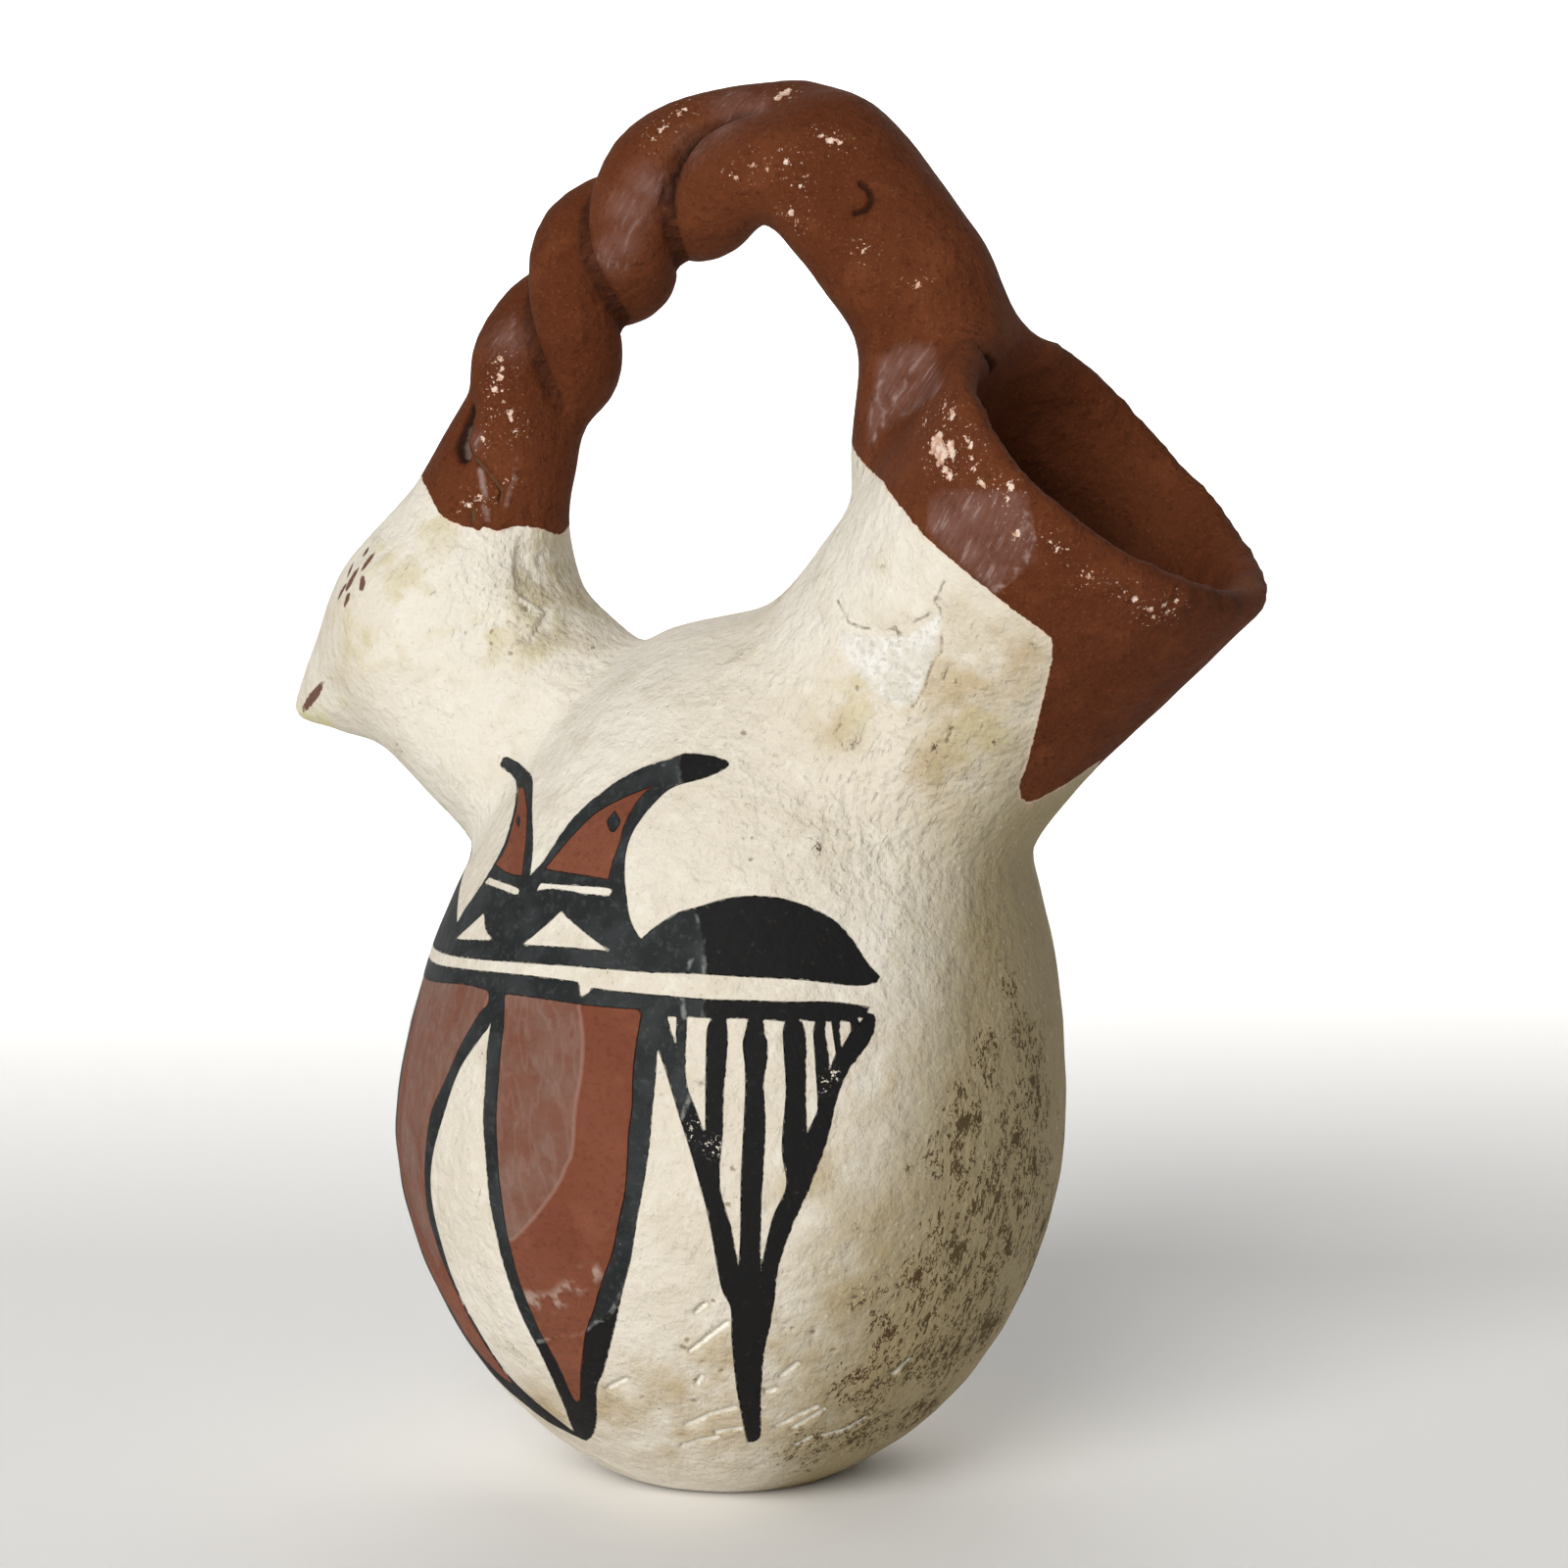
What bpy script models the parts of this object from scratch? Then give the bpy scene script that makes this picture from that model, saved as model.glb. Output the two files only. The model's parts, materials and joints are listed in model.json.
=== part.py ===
"""Bird effigy pitcher: one hand-built, fired-clay pot.

An egg-shaped jar carries a bird's head with a beak at the front and an open
tail spout at the back. A handle of two clay strands, twisted together, rises
from the bird's crown and comes down on the back of the spout.

The bird looks along -X, its tail is at +X and it is alike on both sides of
the XZ plane. The pot stands on its flat foot at Z = 0, and the origin is the
middle of that foot. Units are metres.
"""

import math

import bmesh
import bpy
import numpy as np
from mathutils import Vector
from mathutils.bvhtree import BVHTree
from mathutils.kdtree import KDTree

NAME = "bird_effigy_pot"

# The jar, a turned egg that leans back at the shoulder
BELLY_RADIUS = 0.0404
BELLY_HEIGHT = 0.0421
FOOT_RADIUS = 0.0140
DOME_HEIGHT = 0.1042
BASE_FULLNESS = 1.78
SHOULDER_FULLNESS = 1.80
SHOULDER_LEAN = 0.0060
LEAN_CURVE = 1.2

# The clay round the hollow
WALL = 0.0045
FLOOR_THICKNESS = 0.0060

# The bird's head, a ball that tapers to the beak, and its neck
HEAD_X = -0.0378
HEAD_Z = 0.0996
HEAD_RADIUS = 0.0158
HEAD_WIDTH = 0.92
BEAK_REACH = 0.0216
BEAK_DROP = 0.0104
BEAK_TIP_RADIUS = 0.0015
NECK_REACH = 0.0195
NECK_DROP = 0.0173
NECK_RADIUS = 0.0160

# The crown, where the clay narrows from the head to the handle. Its first ball
# sits back from and above the head's middle, the others on the handle's arch.
CROWN_BACK = 0.0040
CROWN_UP = 0.0095
CROWN_RADIUS = 0.0117
CROWN_MIDDLE_RADIUS = 0.0096
CROWN_TOP_RADIUS = 0.0078
CROWN_MIDDLE_SHARE = 0.056
CROWN_TOP_SHARE = 0.146

# The tail spout, a short horn with an oval mouth
SPOUT_ROOT_X = 0.0130
SPOUT_ROOT_Z = 0.0809
SPOUT_ROOT_RADIUS = 0.0240
SPOUT_ROOT_LEAN = math.radians(42.2)
THROAT_X = 0.0263
THROAT_Z = 0.0954
THROAT_RADIUS = 0.0206
THROAT_LEAN = math.radians(39.9)
MOUTH_X = 0.0483
MOUTH_Z = 0.1200
MOUTH_RADIUS = 0.0230
MOUTH_HALF_WIDTH = 0.0265
MOUTH_LEAN = math.radians(36.5)
LIP_PINCH = 0.12
RIM_SWEEP = 0.0066

# The handle: two strands that wind round one arch and end in a thick strap
HANDLE_RISE = 0.0403
STRAND_RADIUS = 0.0052
STRAND_OFFSET = 0.0038
STRAND_GROWTH = 0.30
GROWTH_START = 0.35
GROWTH_END = 0.65
STRAP_RADIUS = 0.0092
STRAP_BACK = 0.0046
STRAP_DROP = 0.0125
STRAP_SHARES = (0.652, 0.742, 0.809, 0.865, 0.921, 1.0)

# How far round a join or the lip the clay is pressed, how firmly, and how far it flows
SOFTNESS = 0.0080
JOIN_PRESS = 1.6
JOIN_FLOW = 0.0067
LIP_SOFTNESS = 0.0035
LIP_PRESS = 1.5
LIP_FLOW = 0.0025

# The fineness of the mesh
VOXEL = 0.0008
TRIANGLES = 9000
AROUND = 96
PROFILE_STEPS = 48
SPOUT_STEPS = 24
ARCH_STEPS = 400
STRAND_STEPS = 90
TWIST_EASE = 4
BALL_SEGMENTS = 32
BALL_RINGS = 20
TUBE_ROUNDNESS = 6
WELD = 0.00001

# The arch's shape: each station's share of the handle's span and of its rise
ARCH = (
    (0.00, 0.00),
    (0.07, 0.20),
    (0.15, 0.36),
    (0.25, 0.56),
    (0.40, 0.78),
    (0.51, 0.88),
    (0.65, 0.96),
    (0.79, 0.98),
    (0.90, 0.91),
    (1.00, 0.66),
    (1.07, 0.42),
    (1.05, 0.20),
    (1.00, 0.00),
)

# The twist: share of the arch's length, and the first strand's angle there in degrees
TWIST = (
    (0.05, 170.0),
    (0.18, 90.0),
    (0.32, -90.0),
    (0.42, -270.0),
    (0.53, -415.0),
    (1.00, -430.0),
)


def clear_scene():
    for item in list(bpy.data.objects):
        bpy.data.objects.remove(item)


def new_collection(name):
    group = bpy.data.collections.new(name)
    bpy.context.scene.collection.children.link(group)
    return group


def helper(name, mesh, group):
    """A construction piece: seen as wire, and not part of the pot."""
    item = bpy.data.objects.new(name, mesh)
    group.objects.link(item)
    item.hide_render = True
    item.display_type = "WIRE"
    return item


def mesh_from(name, shape):
    mesh = bpy.data.meshes.new(name)
    shape.to_mesh(mesh)
    shape.free()
    return mesh


def settle(item):
    """Make the result of an object's modifiers its own mesh."""
    depsgraph = bpy.context.evaluated_depsgraph_get()
    item.data = bpy.data.meshes.new_from_object(item.evaluated_get(depsgraph))
    item.modifiers.clear()
    return item


def egg_depth():
    """Depth of the egg below the belly, if it weren't flattened for the foot."""
    flat = 1.0 - (FOOT_RADIUS / BELLY_RADIUS) ** 2
    return BELLY_HEIGHT / flat ** (1.0 / BASE_FULLNESS)


def turned_jar(name, wall, floor, group):
    """The egg, or with a wall its inner face, turned round Z from its profile."""
    belly = BELLY_RADIUS - wall
    depth = egg_depth() if floor == 0.0 else BELLY_HEIGHT - floor
    dome = DOME_HEIGHT - wall - BELLY_HEIGHT
    profile = []
    for step in range(PROFILE_STEPS + 1):
        share = math.cos(math.pi * step / PROFILE_STEPS)
        fullness = SHOULDER_FULLNESS if share > 0.0 else BASE_FULLNESS
        height = BELLY_HEIGHT + share * (dome if share > 0.0 else depth)
        radius = belly * math.sqrt(max(0.0, 1.0 - abs(share) ** fullness))
        profile.append((radius, 0.0, height))
    mesh = bpy.data.meshes.new(name)
    mesh.from_pydata(profile, [(step, step + 1) for step in range(PROFILE_STEPS)], [])
    item = helper(name, mesh, group)
    turn = item.modifiers.new("turn", "SCREW")
    turn.axis = "Z"
    turn.angle = math.tau
    turn.steps = AROUND
    turn.render_steps = AROUND
    turn.use_merge_vertices = True
    turn.merge_threshold = WELD
    settle(item)
    for vertex in item.data.vertices:
        share = max(0.0, vertex.co.z - BELLY_HEIGHT) / (DOME_HEIGHT - BELLY_HEIGHT)
        vertex.co.x += SHOULDER_LEAN * share ** LEAN_CURVE
    return item


def linked_balls(name, balls, group, width=1.0):
    """A row of balls, each pair wrapped in the skin stretched round both."""
    whole = bmesh.new()
    for pair in zip(balls[:-1], balls[1:]):
        link = bmesh.new()
        for middle, radius in pair:
            ball = bmesh.ops.create_uvsphere(
                link, u_segments=BALL_SEGMENTS, v_segments=BALL_RINGS, radius=radius
            )
            bmesh.ops.translate(link, verts=ball["verts"], vec=middle)
        skin = bmesh.ops.convex_hull(link, input=link.verts)
        within = [item for item in skin["geom_interior"] if isinstance(item, bmesh.types.BMVert)]
        bmesh.ops.delete(link, geom=within, context="VERTS")
        bmesh.ops.recalc_face_normals(link, faces=link.faces)
        mesh = mesh_from("link", link)
        whole.from_mesh(mesh)
        bpy.data.meshes.remove(mesh)
    bmesh.ops.scale(whole, vec=(1.0, width, 1.0), verts=whole.verts)
    return helper(name, mesh_from(name, whole), group)


def through(stations, share):
    """Smooth curve through evenly counted stations, at a share of their count."""
    place = share * (len(stations) - 1)
    index = min(int(place), len(stations) - 2)
    part = place - index
    first, second = stations[index], stations[index + 1]
    before = stations[index - 1] if index > 0 else 2 * first - second
    after = stations[index + 2] if index + 2 < len(stations) else 2 * second - first
    return 0.5 * (
        2 * first
        + (second - before) * part
        + (2 * before - 5 * first + 4 * second - after) * part ** 2
        + (3 * first - before - 3 * second + after) * part ** 3
    )


def mouth_frame():
    """Middle of the mouth, the way it faces, and the way down to its lip."""
    middle = Vector((MOUTH_X, 0.0, MOUTH_Z))
    facing = Vector((math.sin(MOUTH_LEAN), 0.0, math.cos(MOUTH_LEAN)))
    down = Vector((math.cos(MOUTH_LEAN), 0.0, -math.sin(MOUTH_LEAN)))
    return middle, facing, down


def loft(name, rings, group):
    """A closed skin over a row of rings, with a fan at each end."""
    shape = bmesh.new()
    rows = [[shape.verts.new(point) for point in ring] for ring in rings]
    count = len(rows[0])
    for low, high in zip(rows[:-1], rows[1:]):
        for index in range(count):
            after = (index + 1) % count
            shape.faces.new((low[index], low[after], high[after], high[index]))
    for row in (rows[0], rows[-1]):
        middle = sum((vertex.co for vertex in row), Vector()) / count
        tip = shape.verts.new(middle)
        for index in range(count):
            shape.faces.new((row[index], row[(index + 1) % count], tip))
    bmesh.ops.recalc_face_normals(shape, faces=shape.faces)
    return helper(name, mesh_from(name, shape), group)


def spout(name, wall, beyond, group):
    """The horn of the spout, or with a wall its bore, which runs on beyond the mouth."""
    middle, facing, _ = mouth_frame()
    # Each station: X, Z, lean, radius front to back, half width, pinch, sweep
    root = (SPOUT_ROOT_X, SPOUT_ROOT_Z, SPOUT_ROOT_LEAN, SPOUT_ROOT_RADIUS, SPOUT_ROOT_RADIUS, 0.0, 0.0)
    throat = (THROAT_X, THROAT_Z, THROAT_LEAN, THROAT_RADIUS, THROAT_RADIUS, 0.0, 0.0)
    mouth = (MOUTH_X, MOUTH_Z, MOUTH_LEAN, MOUTH_RADIUS, MOUTH_HALF_WIDTH, LIP_PINCH, RIM_SWEEP)
    stations = np.array((root, throat, mouth))
    rings = []
    for step in range(SPOUT_STEPS + 1):
        x, z, lean, deep, wide, pinch, sweep = through(stations, step / SPOUT_STEPS)
        rings.append(ring(Vector((x, 0.0, z)), lean, deep - wall, wide - wall, pinch, sweep))
    if beyond:
        rings.append(mouth_ring(middle + facing * beyond, wall))
    return loft(name, rings, group)


def mouth_ring(middle, inset):
    """The mouth's own oval, drawn in by an inset and moved to a new middle."""
    return ring(
        middle, MOUTH_LEAN, MOUTH_RADIUS - inset, MOUTH_HALF_WIDTH - inset, LIP_PINCH, RIM_SWEEP
    )


def ring(middle, lean, deep, wide, pinch, sweep):
    """One oval of the spout, narrowed towards the lip and swept up at its back."""
    facing = Vector((math.sin(lean), 0.0, math.cos(lean)))
    down = Vector((math.cos(lean), 0.0, -math.sin(lean)))
    side = Vector((0.0, 1.0, 0.0))
    points = []
    for index in range(AROUND):
        angle = math.tau * index / AROUND
        along = deep * math.cos(angle)
        across = wide * math.sin(angle) * (1.0 - pinch * math.cos(angle))
        rise = sweep * (0.5 - 0.5 * math.cos(angle)) ** 3
        points.append(middle + down * along + side * across + facing * rise)
    return points


def head_balls():
    head = Vector((HEAD_X, 0.0, HEAD_Z))
    neck = head + Vector((NECK_REACH, 0.0, -NECK_DROP))
    tip = head + Vector((-BEAK_REACH, 0.0, -BEAK_DROP))
    return [(neck, NECK_RADIUS), (head, HEAD_RADIUS), (tip, BEAK_TIP_RADIUS)]


def handle_line(count):
    """Evenly spaced points along the handle's arch, from the crown to the spout's back."""
    middle, _, down = mouth_frame()
    root = Vector((HEAD_X + CROWN_BACK, 0.0, HEAD_Z + CROWN_UP))
    end = middle - down * MOUTH_RADIUS - Vector((STRAP_BACK, 0.0, STRAP_DROP))
    span = end - root
    up = Vector((-span.z, 0.0, span.x)).normalized() * HANDLE_RISE
    stations = [np.array(root + span * along + up * rise) for along, rise in ARCH]
    fine = np.array([through(stations, step / ARCH_STEPS) for step in range(ARCH_STEPS + 1)])
    length = np.concatenate(([0.0], np.cumsum(np.linalg.norm(np.diff(fine, axis=0), axis=1))))
    wanted = np.linspace(0.0, length[-1], count)
    return np.column_stack([np.interp(wanted, length, fine[:, axis]) for axis in range(3)])


def strand_path(turn):
    """The line that one strand follows as it winds round the arch."""
    line = handle_line(STRAND_STEPS)
    shares = np.linspace(0.0, 1.0, STRAND_STEPS)
    angles = np.radians(np.interp(shares, *zip(*TWIST)) + turn)
    window = 2 * TWIST_EASE + 1
    angles = np.convolve(np.pad(angles, TWIST_EASE, mode="edge"), np.ones(window) / window, mode="valid")
    ahead = np.gradient(line, axis=0)
    ahead /= np.linalg.norm(ahead, axis=1)[:, None]
    outward = np.column_stack((-ahead[:, 2], np.zeros(STRAND_STEPS), ahead[:, 0]))
    front = np.array((0.0, -1.0, 0.0))
    swing = np.cos(angles)[:, None] * outward + np.sin(angles)[:, None] * front
    return line + STRAND_OFFSET * swing, shares


def strand(name, turn, group):
    """One strand of the twist: a tube that grows thicker towards the spout."""
    middle, shares = strand_path(turn)
    curve = bpy.data.curves.new(name, "CURVE")
    curve.dimensions = "3D"
    curve.bevel_depth = STRAND_RADIUS
    curve.bevel_resolution = TUBE_ROUNDNESS
    curve.use_fill_caps = True
    spline = curve.splines.new("POLY")
    spline.points.add(STRAND_STEPS - 1)
    for point, place, share in zip(spline.points, middle, shares):
        point.co = (*place, 1.0)
        grown = min(1.0, max(0.0, (share - GROWTH_START) / (GROWTH_END - GROWTH_START)))
        point.radius = 1.0 + STRAND_GROWTH * grown
    tube = bpy.data.objects.new(name, curve)
    group.objects.link(tube)
    depsgraph = bpy.context.evaluated_depsgraph_get()
    shape = bmesh.new()
    shape.from_mesh(bpy.data.meshes.new_from_object(tube.evaluated_get(depsgraph)))
    bpy.data.objects.remove(tube)
    bmesh.ops.remove_doubles(shape, verts=shape.verts, dist=WELD)
    bmesh.ops.recalc_face_normals(shape, faces=shape.faces)
    return helper(name, mesh_from(name, shape), group)


def on_handle(share):
    """The point at a share of the arch's length."""
    line = handle_line(ARCH_STEPS + 1)
    return Vector(line[round(share * ARCH_STEPS)])


def crown_balls():
    return [
        (Vector((HEAD_X, 0.0, HEAD_Z)), HEAD_RADIUS),
        (on_handle(0.0), CROWN_RADIUS),
        (on_handle(CROWN_MIDDLE_SHARE), CROWN_MIDDLE_RADIUS),
        (on_handle(CROWN_TOP_SHARE), CROWN_TOP_RADIUS),
    ]


def strap_balls():
    return [(on_handle(share), STRAP_RADIUS) for share in STRAP_SHARES]


def joined(name, items, group):
    whole = bmesh.new()
    for item in items:
        whole.from_mesh(item.data)
    return helper(name, mesh_from(name, whole), group)


def fused(item):
    """Overlapping solids become one even skin."""
    melt = item.modifiers.new("fuse", "REMESH")
    melt.mode = "VOXEL"
    melt.voxel_size = VOXEL
    return settle(item)


def pressed(item, weights, flow):
    """Smooth the clay until it flows so far, as much as each point's weight allows."""
    group = item.vertex_groups.new(name="pressed")
    for index, weight in enumerate(weights):
        if weight > 0.0:
            group.add([index], min(1.0, weight), "REPLACE")
    smooth = item.modifiers.new("press", "SMOOTH")
    smooth.factor = 0.5
    smooth.iterations = round((flow / VOXEL) ** 2)
    smooth.vertex_group = group.name
    return settle(item)


def soft_joins(item, pieces):
    """Press the clay smooth wherever two pieces meet."""
    trees = []
    for piece in pieces:
        shape = bmesh.new()
        shape.from_mesh(piece.data)
        trees.append(BVHTree.FromBMesh(shape))
        shape.free()
    weights = []
    for vertex in item.data.vertices:
        _, second = sorted(tree.find_nearest(vertex.co)[3] for tree in trees)[:2]
        weights.append(JOIN_PRESS * (1.0 - second / SOFTNESS))
    return pressed(item, weights, JOIN_FLOW)


def round_lip(item):
    """Round both edges of the spout's rim."""
    middle, _, _ = mouth_frame()
    rim = KDTree(AROUND)
    for index, point in enumerate(mouth_ring(middle, WALL / 2)):
        rim.insert(point, index)
    rim.balance()
    weights = []
    for vertex in item.data.vertices:
        _, _, gap = rim.find(vertex.co)
        weights.append(LIP_PRESS * (1.0 - gap / LIP_SOFTNESS))
    return pressed(item, weights, LIP_FLOW)


def flat_foot(item):
    """Slice the rounded bottom off at the ground and close the cut."""
    shape = bmesh.new()
    shape.from_mesh(item.data)
    parts = shape.verts[:] + shape.edges[:] + shape.faces[:]
    bmesh.ops.bisect_plane(shape, geom=parts, plane_co=(0, 0, 0), plane_no=(0, 0, -1), clear_outer=True)
    bmesh.ops.holes_fill(shape, edges=[edge for edge in shape.edges if edge.is_boundary], sides=0)
    bmesh.ops.recalc_face_normals(shape, faces=shape.faces)
    shape.to_mesh(item.data)
    shape.free()


def clay_material():
    clay = bpy.data.materials.new("cream_slip_on_fired_clay")
    clay.use_nodes = True
    shader = clay.node_tree.nodes["Principled BSDF"]
    shader.inputs["Base Color"].default_value = (0.72, 0.64, 0.49, 1.0)
    shader.inputs["Roughness"].default_value = 0.85
    shader.inputs["Metallic"].default_value = 0.0
    return clay


def build():
    clear_scene()
    pieces = new_collection("clay_pieces")
    pot_group = new_collection(NAME)

    jar = turned_jar("jar", 0.0, 0.0, pieces)
    horn = spout("spout", 0.0, 0.0, pieces)
    head = linked_balls("head", head_balls(), pieces, width=HEAD_WIDTH)
    crown = linked_balls("crown", crown_balls(), pieces)
    strap = linked_balls("strap", strap_balls(), pieces)
    strands = [strand("strand_a", 0.0, pieces), strand("strand_b", 180.0, pieces)]
    body = fused(joined("body", [jar, horn, head, crown, strap, *strands], pieces))
    soft_joins(body, [jar, horn, head, crown, strap])

    inside = turned_jar("inside", WALL, FLOOR_THICKNESS, pieces)
    bore = spout("bore", WALL, MOUTH_RADIUS, pieces)
    hollow = fused(joined("hollow", [inside, bore], pieces))
    cut = body.modifiers.new("hollow", "BOOLEAN")
    cut.operation = "DIFFERENCE"
    cut.object = hollow
    cut.solver = "EXACT"
    round_lip(fused(settle(body)))

    pot = bpy.data.objects.new(NAME, body.data)
    pot_group.objects.link(pot)
    pot.data.materials.append(clay_material())
    thin = pot.modifiers.new("thin", "DECIMATE")
    thin.ratio = TRIANGLES / (2 * len(pot.data.polygons))
    settle(pot)
    flat_foot(pot)
    return pot


POT = build()
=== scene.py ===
# %% [markdown]
# # A painted bird effigy pot
#
# The pot is one piece of hand-built, fired clay: an egg-shaped jar with a bird's head,
# an open tail spout and a handle of two twisted strands. Cream slip covers the jar,
# red-brown slip covers the handle and the spout, and the sides carry a motif in black
# and red paint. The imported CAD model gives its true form. This lesson puts a finer clay
# skin in that form's place, works the marks of hand and age into it, and paints it.

import json
import math
from functools import partial, reduce

import bmesh
import bpy
import numpy as np
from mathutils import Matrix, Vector, noise
from mathutils.bvhtree import BVHTree

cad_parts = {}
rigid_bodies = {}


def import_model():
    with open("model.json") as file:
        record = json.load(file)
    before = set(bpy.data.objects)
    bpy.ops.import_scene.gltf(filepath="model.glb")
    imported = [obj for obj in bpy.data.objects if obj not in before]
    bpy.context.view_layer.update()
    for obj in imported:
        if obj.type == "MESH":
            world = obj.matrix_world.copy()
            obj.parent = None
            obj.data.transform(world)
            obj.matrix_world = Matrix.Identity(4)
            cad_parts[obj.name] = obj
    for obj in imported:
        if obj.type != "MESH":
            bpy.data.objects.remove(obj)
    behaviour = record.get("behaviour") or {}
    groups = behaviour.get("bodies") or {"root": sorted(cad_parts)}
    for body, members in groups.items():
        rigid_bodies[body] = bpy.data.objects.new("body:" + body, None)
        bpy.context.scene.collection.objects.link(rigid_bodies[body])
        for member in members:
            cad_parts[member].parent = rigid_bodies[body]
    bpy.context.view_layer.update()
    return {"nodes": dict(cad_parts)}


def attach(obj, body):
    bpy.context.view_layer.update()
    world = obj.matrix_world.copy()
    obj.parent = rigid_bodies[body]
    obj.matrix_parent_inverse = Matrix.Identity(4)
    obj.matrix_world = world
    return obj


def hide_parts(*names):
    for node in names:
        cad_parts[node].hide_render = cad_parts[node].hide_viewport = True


for item in list(bpy.data.objects):
    bpy.data.objects.remove(item)
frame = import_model()
cad_pot = frame["nodes"]["bird_effigy_pot"]
MM = 0.001
print("pot in the frame:", len(cad_pot.data.polygons), "faces")

# %% [markdown]
# ## Where the camera stands
#
# A photograph can be matched by eye, or by measuring. Here it is measured: the foot,
# the beak, the spout's lip and the handle's top fix the direction, the distance and
# the size in the picture. The camera stands at the pot's right front, 25 degrees round
# and 6.5 degrees above level, a little over half a metre away.

# %% Camera
AZIMUTH = math.radians(25.0)
ELEVATION = math.radians(6.5)
DISTANCE = 0.550
PIXELS_PER_METRE = 8420.0
IMAGE_SIZE = 1600.0
SENSOR = 36.0
FOOT_PIXEL = (746.0, 1493.0)

back = Vector((
    math.sin(AZIMUTH) * math.cos(ELEVATION),
    -math.cos(AZIMUTH) * math.cos(ELEVATION),
    math.sin(ELEVATION),
))
right = Vector((math.cos(AZIMUTH), math.sin(AZIMUTH), 0.0))
up = back.cross(right)
aside = (IMAGE_SIZE / 2 - FOOT_PIXEL[0]) / PIXELS_PER_METRE
above = (FOOT_PIXEL[1] - IMAGE_SIZE / 2) / PIXELS_PER_METRE

camera = bpy.data.objects.new("camera", bpy.data.cameras.new("camera"))
bpy.context.scene.collection.objects.link(camera)
camera.location = right * aside + up * above + back * DISTANCE
camera.rotation_mode = "QUATERNION"
camera.rotation_quaternion = (-back).to_track_quat("-Z", "Y")
camera.data.sensor_width = SENSOR
camera.data.lens = PIXELS_PER_METRE * DISTANCE * SENSOR / IMAGE_SIZE
camera.data.clip_start = 0.01
bpy.context.scene.camera = camera
print("camera at", [round(value, 4) for value in camera.location], "lens", round(camera.data.lens, 1))

# %% [markdown]
# ## Floor and light
#
# A matt pot shows its form through soft shading. One large lamp at the left gives that,
# as a window does, and a pale sky all round fills the shadows. The floor is plain and
# pale, and curves up behind the pot, so that no edge shows. A lamp above the view lights
# that curve alone and keeps it pale.

# %% Colour helper and a curved floor
def srgb(red, green, blue):
    """A colour as a paint chart gives it, 0 to 255, turned into the light Blender counts in."""
    shares = (value / 255.0 for value in (red, green, blue))
    return tuple(s / 12.92 if s <= 0.04045 else ((s + 0.055) / 1.055) ** 2.4 for s in shares) + (1.0,)


FLOOR_REACH = 0.6
FLOOR_BEND = 0.8
FLOOR_STEPS = 16
FLOOR_NEAR = -1.6
FLOOR_TOP = 2.0
FLOOR_HALF_WIDTH = 3.0

away = Vector((-back.x, -back.y, 0.0)).normalized()
profile = [away * FLOOR_NEAR, away * FLOOR_REACH]
for step in range(1, FLOOR_STEPS + 1):
    turn = math.pi / 2 * step / FLOOR_STEPS
    bend = away * (FLOOR_REACH + FLOOR_BEND * math.sin(turn))
    profile.append(bend + Vector((0.0, 0.0, FLOOR_BEND * (1.0 - math.cos(turn)))))
profile.append(profile[-1] + Vector((0.0, 0.0, FLOOR_TOP)))
points = [point + right * side for point in profile for side in (-FLOOR_HALF_WIDTH, FLOOR_HALF_WIDTH)]
faces = [(i, i + 1, i + 3, i + 2) for i in range(0, len(points) - 2, 2)]
floor_mesh = bpy.data.meshes.new("floor")
floor_mesh.from_pydata([tuple(point) for point in points], [], faces)
floor_mesh.polygons.foreach_set("use_smooth", [True] * len(faces))
floor = bpy.data.objects.new("floor", floor_mesh)
bpy.context.scene.collection.objects.link(floor)

paper = bpy.data.materials.new("pale_paper")
paper.use_nodes = True
paper_shader = paper.node_tree.nodes["Principled BSDF"]
paper_shader.inputs["Base Color"].default_value = srgb(250, 249, 247)
paper_shader.inputs["Roughness"].default_value = 0.95
floor_mesh.materials.append(paper)
print("floor reaches", FLOOR_REACH, "m and bends up behind the pot")

# %% Lamps and sky
POT_MIDDLE = Vector((0.0, 0.0, 0.085))


def soft_lamp(name, aside, above, before, size, power, colour):
    """A square lamp placed by the camera's own left, up and near, and aimed at the pot."""
    lamp = bpy.data.lights.new(name, "AREA")
    lamp.shape = "SQUARE"
    lamp.size = size
    lamp.energy = power
    lamp.color = colour
    item = bpy.data.objects.new(name, lamp)
    item.location = POT_MIDDLE + right * aside + up * above + back * before
    item.rotation_mode = "QUATERNION"
    item.rotation_quaternion = (item.location - POT_MIDDLE).to_track_quat("Z", "Y")
    bpy.context.scene.collection.objects.link(item)
    return item


soft_lamp("window", -0.66, 0.58, 1.68, 1.20, 31.3, (1.0, 0.992, 0.977))

backdrop_lamp = soft_lamp("backdrop_lamp", 0.0, 0.95, -0.45, 0.90, 17.0, (1.0, 1.0, 1.0))
backdrop_lamp.rotation_quaternion = Vector((back.x, back.y, 0.45)).to_track_quat("Z", "Y")

sky = bpy.data.worlds.new("pale_sky")
sky.use_nodes = True
sky_light = sky.node_tree.nodes["Background"]
sky_light.inputs["Color"].default_value = (0.96, 0.98, 1.0, 1.0)
sky_light.inputs["Strength"].default_value = 0.18
bpy.context.scene.world = sky
bpy.context.scene.view_settings.view_transform = "Standard"

# %% [markdown]
# ## A finer skin of clay
#
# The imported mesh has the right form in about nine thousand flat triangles, too coarse
# for finger marks or for the edge of a brush stroke. Subdivision rounds the triangles,
# and a voxel remesh then gives even squares of 1.4 millimetres, which later cells split
# wherever detail needs it. The inside of the jar is dark and plain, so it is thinned out.

# %% Copy the pot and give it even squares
VOXEL = 1.38 * MM

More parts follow.
